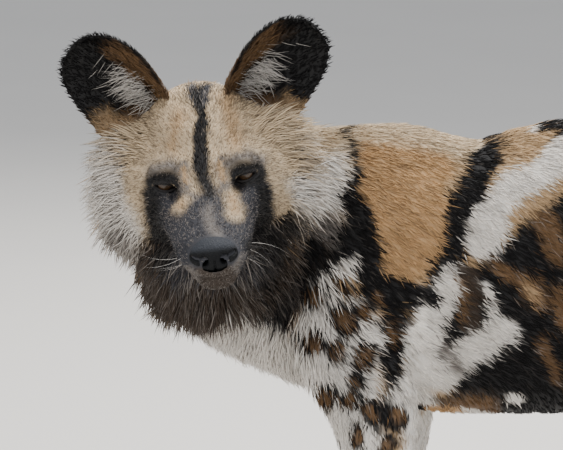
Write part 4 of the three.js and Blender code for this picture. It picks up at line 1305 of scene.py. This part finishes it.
class WILDDOG_OT_ears(bpy.types.Operator):
    """Make the two ears with their rims and hair"""

    bl_idname = "wilddog.ears"
    bl_label = "Ears"

    def execute(self, context):
        _, pigments = settings()
        leather = skin_material("ear_skin")
        for number, name in enumerate(EARS):
            points, slopes, quads, data = ear_mesh(name)
            up, w, _ = data.T
            colour = ear_colour(points, data, pigments)
            points, slopes = from_head(points), slopes @ HEAD
            places = [0.54 + 0.3 * number + 0.18 * w, 0.02 + 0.44 * (up + 0.3) / 1.3]
            places = np.stack(places, 1)
            make_piece(f"{name}_leather", points, quads, leather, colour * 0.7,
                       places, [name])
            roots, normals = scatter(points, slopes, quads, np.full(len(points), EAR_HAIR_GAP),
                                     71 + number)
            nearest = nearest_of(roots, points)
            self.grow_hair(name, number, roots, normals, data[nearest], colour[nearest],
                           places[nearest], pigments["white"])
        return {"FINISHED"}

    def grow_hair(self, name, number, roots, normals, data, colour, places, white):
        """Short hair all over an ear, and long pale hairs that lean across its opening."""
        draw = np.random.default_rng(70 + number)
        along, outward = (unit(np.array(v, float)) @ HEAD for v in EARS[name][1:])
        u, w, face = data.T
        flow = across_normals(along + outward * ((w - 0.5) * 1.2)[:, None], normals)
        band = ease(w, 0.42, 0.3) * (face > 0.5)
        length = (6.5 + 5.5 * band) * (1 + 0.4 * draw.random(len(roots)))
        tint = colour * draw.uniform(0.55, 1.25, (len(roots), 1))
        tuft_piece(f"{name}_coat", "coat_black", roots, places, normals, unit(flow + 1e-6), length,
                   1.2, 0.25 + 0.15 * band, tint, 75 + number)
        share = 1.5 * np.exp(-(((w - 0.4) / 0.12) ** 2) - ((u - 0.2) / 0.2) ** 2)
        rows = np.tile(np.flatnonzero((face > 0.5) & (w > 0.18) & (u > -0.02)), 2)
        rows = rows[draw.random(len(rows)) < share[rows]]
        size = (len(rows), 1)
        root = roots[rows] + draw.normal(0, 0.8, (len(rows), 3))
        lean = outward[None] * 0.8 + along[None] * (0.8 - 0.9 * draw.random(size))
        lean = unit(across_normals(lean, normals[rows]))
        reach = 12 + 20 * draw.random(len(rows)) ** 1.5
        pale = white * (0.5 + 0.5 * draw.random(size))
        tuft_piece(f"{name}_inner_hair", "coat_white", root, places[rows], normals[rows], lean,
                   reach, 0.62, 0.42, pale, 85 + number, rings=3, droop=0.05, clump=14)


def widen(mask, quads):
    """The mask with one more ring of faces, so that neighbouring parts of the coat overlap."""
    more = mask.copy()
    more[quads[mask[quads].any(1)].ravel()] = True
    return more


class WILDDOG_OT_coat(bpy.types.Operator):
    """Grow the coat over the whole body"""

    bl_idname = "wilddog.coat"
    bl_label = "Coat"

    def execute(self, context):
        sizes, _ = settings()
        head, body = SKIN["head"][0], SKIN["body"][0]
        length = coat_length(head, sizes)
        short = length < SHORT_HAIR
        gap = 1.5 + 0.03 * length - 0.25 * ease(eye_distance(to_head(head)), 30, 14)
        coat_piece("coat_face", short, "head", gap, 0.2, "coat_cream", 11, (0.7, 0.065), clump=6,
                   flecks=0.36, mixing=1.3)
        long = ~short | (length > SHORT_HAIR - 2)
        coat_piece("coat_ruff", long, "head", 2.0, 0.5, "coat_white", 21, (0.9, 0.022), rings=3,
                   droop=0.1, clump=10, tips="grizzle", flecks=0.12, mixing=2.6)
        x, _, z = body.T
        masks = {"neck": (x < -70) & (z > 330), "tail": (x > 530) & (z < 575), "paws": z <= 50}
        masks["legs"] = (z < 395) & ~masks["tail"] & (z > 46)
        masks["torso"] = ~np.any(list(masks.values()), axis=0)
        for part, (gap, lift, slot, seed, width, how) in COAT_PARTS.items():
            mask = widen(masks[part], SKIN["body"][2])
            coat_piece(f"coat_{part}", mask, "body", gap, lift, slot, seed, width, **how)
        return {"FINISHED"}


def ring_tube(path, radii, sides, flatten, outward):
    """A closed loop of tube round a path: vertices and quads."""
    along = unit(np.roll(path, -1, 0) - np.roll(path, 1, 0))
    out = unit(across_normals(outward, along))
    rise = np.cross(along, out)
    angle = 2 * math.pi * np.arange(sides) / sides
    wide, high = (v[None, :, None] for v in (np.cos(angle), np.sin(angle) * flatten))
    ring = out[:, None] * wide + rise[:, None] * high
    points = path[:, None] + ring * radii[:, None, None]
    i, j = np.meshgrid(np.arange(len(path)), np.arange(sides), indexing="ij")
    n, m = (i + 1) % len(path), (j + 1) % sides
    quads = np.stack([i * sides + j, n * sides + j, n * sides + m, i * sides + m], -1)
    return points.reshape(-1, 3), quads.reshape(-1, 4)


def outward_faces(points, faces):
    """The quads turned so that the volume that they hold isn't negative."""
    a, b, c, d = (points[faces[:, i]] - points.mean(0) for i in range(4))
    volume = (a * np.cross(b, c)).sum() + (a * np.cross(c, d)).sum()
    return faces if volume > 0 else faces[:, ::-1]


def lid_line(s, reach, count=48):
    """Points round the slit between the lids, reach from the eye's middle."""
    a = 2 * math.pi * np.arange(count) / count
    across = LID_WIDE * np.cos(a)
    up = LID_HIGH * np.sin(a) * np.abs(np.sin(a)) ** 0.35 - LID_DROP + LID_TILT * across
    out = np.sqrt(np.maximum(reach**2 - across**2 - up**2, 16))
    return np.stack([EYE_BACK + out, s * (EYE_SIDE + across), EYE_RISE + up], 1)


def eyeball(s, gaze, rings=30, spokes=48, radius=11.6):
    """An eyeball with its cornea: points, quads, and how far each is from the pupil and round."""
    side = unit(np.cross(gaze, (0, 0, 1)))
    rise = np.cross(side, gaze)
    polar = math.pi * (np.arange(rings + 1) / rings)[:, None]
    turn = 2 * math.pi * (np.arange(spokes) / spokes)[None]
    cornea = 0.8 * ease(np.cos(polar), 0.72, 0.95)
    points = (gaze * np.cos(polar)[..., None] + side * (np.sin(polar) * np.cos(turn))[..., None]
              + rise * (np.sin(polar) * np.sin(turn))[..., None]) * (radius + cornea)[..., None]
    points = points.reshape(-1, 3) + np.array([EYE_BACK, s * EYE_SIDE, EYE_RISE])
    i, j = np.meshgrid(np.arange(rings) * spokes, np.arange(spokes), indexing="ij")
    n = (j + 1) % spokes
    quads = np.stack([i + j, i + spokes + j, i + spokes + n, i + n], -1).reshape(-1, 4)
    ring = np.repeat(np.sin(np.minimum(polar, math.pi / 2)) / 0.62, spokes, 1).ravel()
    spoke = np.repeat(turn, rings + 1, 0).ravel() / (2 * math.pi)
    values = {"ring": np.minimum(ring, 1), "spoke": np.abs(spoke * 2 - 1)}
    return points, outward_faces(points, quads), values


class WILDDOG_OT_eyes(bpy.types.Operator):
    """Make the eyes and their lids"""

    bl_idname = "wilddog.eyes"
    bl_label = "Eyes"

    def execute(self, context):
        _, pigments = settings()
        amber = eye_material(pigments["iris"])
        lid = leather_material("lid_leather", (0.012, 0.011, 0.011), (0.02, 0.018, 0.018), 900, 0.6,
                               0.35)
        gaze = unit(-VIEW @ HEAD.T + np.array([0, 0, GAZE_DROP]))
        for s, name in zip(SIDES, ("eye_right", "eye_left")):
            points, quads, values = eyeball(s, gaze)
            make_piece(f"{name}_ball", from_head(points), quads, amber,
                       replaces=[name], extra=values)
            path = lid_line(s, 13.0)
            centre = np.array([EYE_BACK, s * EYE_SIDE, EYE_RISE - LID_DROP])
            upper = np.clip((path[:, 2] - centre[2]) / 5, -1, 1)
            radii = 1.4 + 1.5 * np.maximum(upper, 0)
            points, quads = ring_tube(path, radii, 10, 0.75, path - centre)
            make_piece(f"{name}_lids", from_head(points), outward_faces(points, quads), lid)
        return {"FINISHED"}


class WILDDOG_OT_nose(bpy.types.Operator):
    """Make the nose's leather with its nostrils"""

    bl_idname = "wilddog.nose"
    bl_label = "Nose"

    def execute(self, context):
        _, pigments = settings()
        points, quads = shell(nose_form, *NOSE_SPAN, 1.0, 4)
        points, _ = settle(points, nose_form, 0.8)
        leather = leather_material("nose_leather", (0.55, 0.55, 0.55), (1, 1, 1), 620, 0.56, 1.0,
                                   painted=True)
        # Painted sheen: the leather is lightened towards its upper side, over a darker front
        top = ease(points[:, 2] + 0.25 * (100 - points[:, 0]), -38, -31)
        colour = lay(plain(points, pigments["nose"] * 0.2), pigments["nose"] * 1.6, top)
        make_piece("nose_pad", from_head(points), quads, leather, colour,
                   replaces=["nose"])
        return {"FINISHED"}


def hair_tree():
    """The node group that stands a tapering curved hair on every point of a mesh."""
    recipe = Recipe("standing_hairs", group=True)
    port = recipe.tree.interface.new_socket
    port("Geometry", in_out="INPUT", socket_type="NodeSocketGeometry")
    for label, value in (("Length", 0.04), ("Thickness", 0.0003), ("Bend", 0.3)):
        port(label, in_out="INPUT", socket_type="NodeSocketFloat").default_value = value
    port("Material", in_out="INPUT", socket_type="NodeSocketMaterial")
    port("Geometry", in_out="OUTPUT", socket_type="NodeSocketGeometry")
    node = recipe.node
    given = node("NodeGroupInput").socket.node.outputs
    seats, length, thickness, bend, material = (
        Wire(recipe, given[n]) for n in ("Geometry", "Length", "Thickness", "Bend", "Material"))
    scale = {"operation": "SCALE"}
    tip = node("ShaderNodeCombineXYZ", {}, {"X": bend, "Z": 1.0})
    tip = node("ShaderNodeVectorMath", scale, {0: tip, "Scale": length})
    half = node("ShaderNodeCombineXYZ", {}, {"Z": 0.55})
    half = node("ShaderNodeVectorMath", scale, {0: half, "Scale": length})
    curve = node("GeometryNodeCurveQuadraticBezier", {}, {
        "Resolution": 6, "Start": (0, 0, 0), "Middle": half, "End": tip})
    radius = (1.05 - node("GeometryNodeSplineParameter", output="Factor")) * thickness
    circle = node("GeometryNodeCurvePrimitiveCircle", {"mode": "RADIUS"},
                  {"Resolution": 4, "Radius": 1.0})
    hair = node("GeometryNodeCurveToMesh", {}, {
        "Curve": curve, "Profile Curve": circle, "Scale": radius, "Fill Caps": True})
    aim = node("GeometryNodeInputNamedAttribute", {"data_type": "FLOAT_VECTOR"}, {"Name": "aim"},
               "Attribute")
    turned = node("FunctionNodeAlignRotationToVector", {"axis": "Z"}, {"Vector": aim})
    size = node("FunctionNodeRandomValue", {"data_type": "FLOAT"}, {2: 0.7, 3: 1.25, "Seed": 4}, 1)
    placed = node("GeometryNodeInstanceOnPoints", {}, {
        "Points": seats, "Instance": hair, "Rotation": turned, "Scale": size})
    real = node("GeometryNodeRealizeInstances", {}, {"Geometry": placed})
    painted = node("GeometryNodeSetMaterial", {}, {"Geometry": real, "Material": material})
    node("NodeGroupOutput", {}, {"Geometry": painted})
    return recipe.tree


def stand_hairs(name, points, aims, length, thickness, bend, material):
    """Hairs on points of the head, made by the node group and kept as a plain mesh."""
    mesh = bpy.data.meshes.new(name + "_points")
    mesh.from_pydata([tuple(p) for p in to_row(from_head(points))], [], [])
    attribute = mesh.attributes.new("aim", "FLOAT_VECTOR", "POINT")
    aims = unit(np.array(aims)) @ HEAD
    attribute.data.foreach_set("vector", aims.astype(np.float32).ravel())
    seat = add_object(name + "_points", mesh)
    tree = bpy.data.node_groups.get("standing_hairs") or hair_tree()
    modifier = seat.modifiers.new("hairs", "NODES")
    modifier.node_group = tree
    given = {"Length": length, "Thickness": thickness, "Bend": bend, "Material": material}
    for item in tree.interface.items_tree:
        if item.item_type == "SOCKET" and item.in_out == "INPUT" and item.name in given:
            modifier[item.identifier] = given[item.name]
    seat.update_tag()
    bpy.context.view_layer.update()
    evaluated = seat.evaluated_get(bpy.context.evaluated_depsgraph_get())
    result = bpy.data.meshes.new_from_object(evaluated)
    bpy.data.objects.remove(seat)
    result.name = name
    if not result.materials:
        result.materials.append(material)
    piece = add_object(name, result)
    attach(piece, "root")


class WILDDOG_OT_whiskers(bpy.types.Operator):
    """Set the whiskers and eyelashes"""

    bl_idname = "wilddog.whiskers"
    bl_label = "Whiskers and Lashes"

    def execute(self, context):
        sizes, _ = settings()
        draw = np.random.default_rng(91)
        pale = hair_material("whisker_pale", (0.5, 0.48, 0.45), (0.75, 0.72, 0.68))
        dark = hair_material("whisker_dark", (0.01, 0.01, 0.01), (0.03, 0.028, 0.026))
        seats, aims = [], []
        for s in SIDES:
            for row, (rise, count) in enumerate(WHISKER_ROWS):
                for k in range(count):
                    f = 84 - 9 * k + draw.normal(0, 1.5)
                    seats.append([f, s * 30, rise + draw.normal(0, 1)])
                    aims.append([0.25 - 0.16 * k, s, -0.2 - 0.12 * row + draw.normal(0, 0.12)])
        seats, aims = self.on_skin(np.array(seats)), np.array(aims)
        third = np.arange(len(seats)) % 3 == 0
        for label, rows, material, slot in (("whiskers_pale", third, pale, "coat_white"),
                                            ("whiskers_dark", ~third, dark, "coat_black")):
            stand_hairs(label, seats[rows], aims[rows], sizes.whisker, WHISKER_THICK, 0.35,
                        material)
        roots, lashes = [], []
        for s in SIDES:
            line = lid_line(s, 14.0, 60)[4:27]
            roots += list(line + draw.normal(0, 0.25, line.shape))
            lashes += [[1.0, s * 0.25, 0.25 + draw.normal(0, 0.1)] for _ in line]
        stand_hairs("eyelashes", roots, lashes, sizes.lash, LASH_THICK, -0.35, dark)
        return {"FINISHED"}

    def on_skin(self, seats):
        """The seats moved out or in to the skin along its slope."""
        for _ in range(6):
            value, gradient = slope(seats, head_skin)
            seats = seats - gradient * (value / np.maximum((gradient**2).sum(1), 0.1))[:, None]
        return seats


class WILDDOG_OT_claws(bpy.types.Operator):
    """Give the claws their horn"""

    bl_idname = "wilddog.claws"
    bl_label = "Claws"

    def execute(self, context):
        horn = horn_material()
        for name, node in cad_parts.items():
            if name.startswith("claw_"):
                node.data.materials.clear()
                node.data.materials.append(horn)
        return {"FINISHED"}


def area_light(name, place, size, power, colour):
    light = bpy.data.lights.new(name, "AREA")
    light.shape, light.size, light.energy, light.color = "DISK", size, power, colour
    lamp = add_object(name, light)
    lamp.location = place
    aim = Vector(LIGHTS_AIM) - Vector(place)
    lamp.rotation_euler = aim.to_track_quat("-Z", "Y").to_euler()


class WILDDOG_OT_stage(bpy.types.Operator):
    """Set the floor, the lights and the camera"""

    bl_idname = "wilddog.stage"
    bl_label = "Stage"

    def execute(self, context):
        _, pigments = settings()
        mesh = bpy.data.meshes.new("studio_floor")
        corners = (-1, -1), (1, -1), (1, 1), (-1, 1)
        corners = [(x * FLOOR_HALF, y * FLOOR_HALF, 0) for x, y in corners]
        mesh.from_pydata(corners, [], [(0, 1, 2, 3)])
        mesh.materials.append(floor_material(pigments["floor"]))
        add_object("studio_floor", mesh)
        world = bpy.data.worlds.new("studio")
        world.use_nodes = True
        sky = world.node_tree.nodes["Background"].inputs
        sky[0].default_value, sky[1].default_value = SKY_COLOUR, SKY_STRENGTH
        context.scene.world = world
        for name, light in LIGHTS.items():
            area_light(name, *light)
        lens = bpy.data.cameras.new("camera")
        lens.sensor_width = SENSOR
        lens.lens = FOCAL * SENSOR / FRAME_WIDTH
        lens.clip_start, lens.clip_end = 0.1, 200
        camera = add_object("camera", lens)
        axes = Matrix(np.array([VIEW_RIGHT, VIEW_UP, -VIEW]).T.tolist()).to_4x4()
        camera.matrix_world = Matrix.Translation(Vector(to_row(CAMERA_AT))) @ axes
        context.scene.camera = camera
        return {"FINISHED"}


class WILDDOG_PT_panel(bpy.types.Panel):
    """The animal's pieces, sizes and colours"""

    bl_idname = "WILDDOG_PT_panel"
    bl_label = "African Wild Dog"
    bl_space_type = "VIEW_3D"
    bl_region_type = "UI"
    bl_category = "Wild Dog"

    def draw(self, context):
        for operator in OPERATORS:
            self.layout.operator(operator.bl_idname)
        for group in (context.scene.wilddog_sizes, context.scene.wilddog_colours):
            for name in group.bl_rna.properties.keys():
                if name not in ("rna_type", "name"):
                    self.layout.prop(group, name)


OPERATORS = (WILDDOG_OT_stage, WILDDOG_OT_skin, WILDDOG_OT_ears, WILDDOG_OT_coat, WILDDOG_OT_eyes,
             WILDDOG_OT_nose, WILDDOG_OT_whiskers, WILDDOG_OT_claws)
CLASSES = (WILDDOG_PG_sizes, WILDDOG_PG_colours, *OPERATORS, WILDDOG_PT_panel)


def register():
    for item in CLASSES:
        bpy.utils.register_class(item)
    bpy.types.Scene.wilddog_sizes = bpy.props.PointerProperty(type=WILDDOG_PG_sizes)
    bpy.types.Scene.wilddog_colours = bpy.props.PointerProperty(type=WILDDOG_PG_colours)


def unregister():
    del bpy.types.Scene.wilddog_sizes
    del bpy.types.Scene.wilddog_colours
    for item in reversed(CLASSES):
        bpy.utils.unregister_class(item)


def main():
    register()
    for operator in OPERATORS:
        getattr(bpy.ops.wilddog, operator.bl_idname.split(".")[1])()


if __name__ == "__main__":
    main()
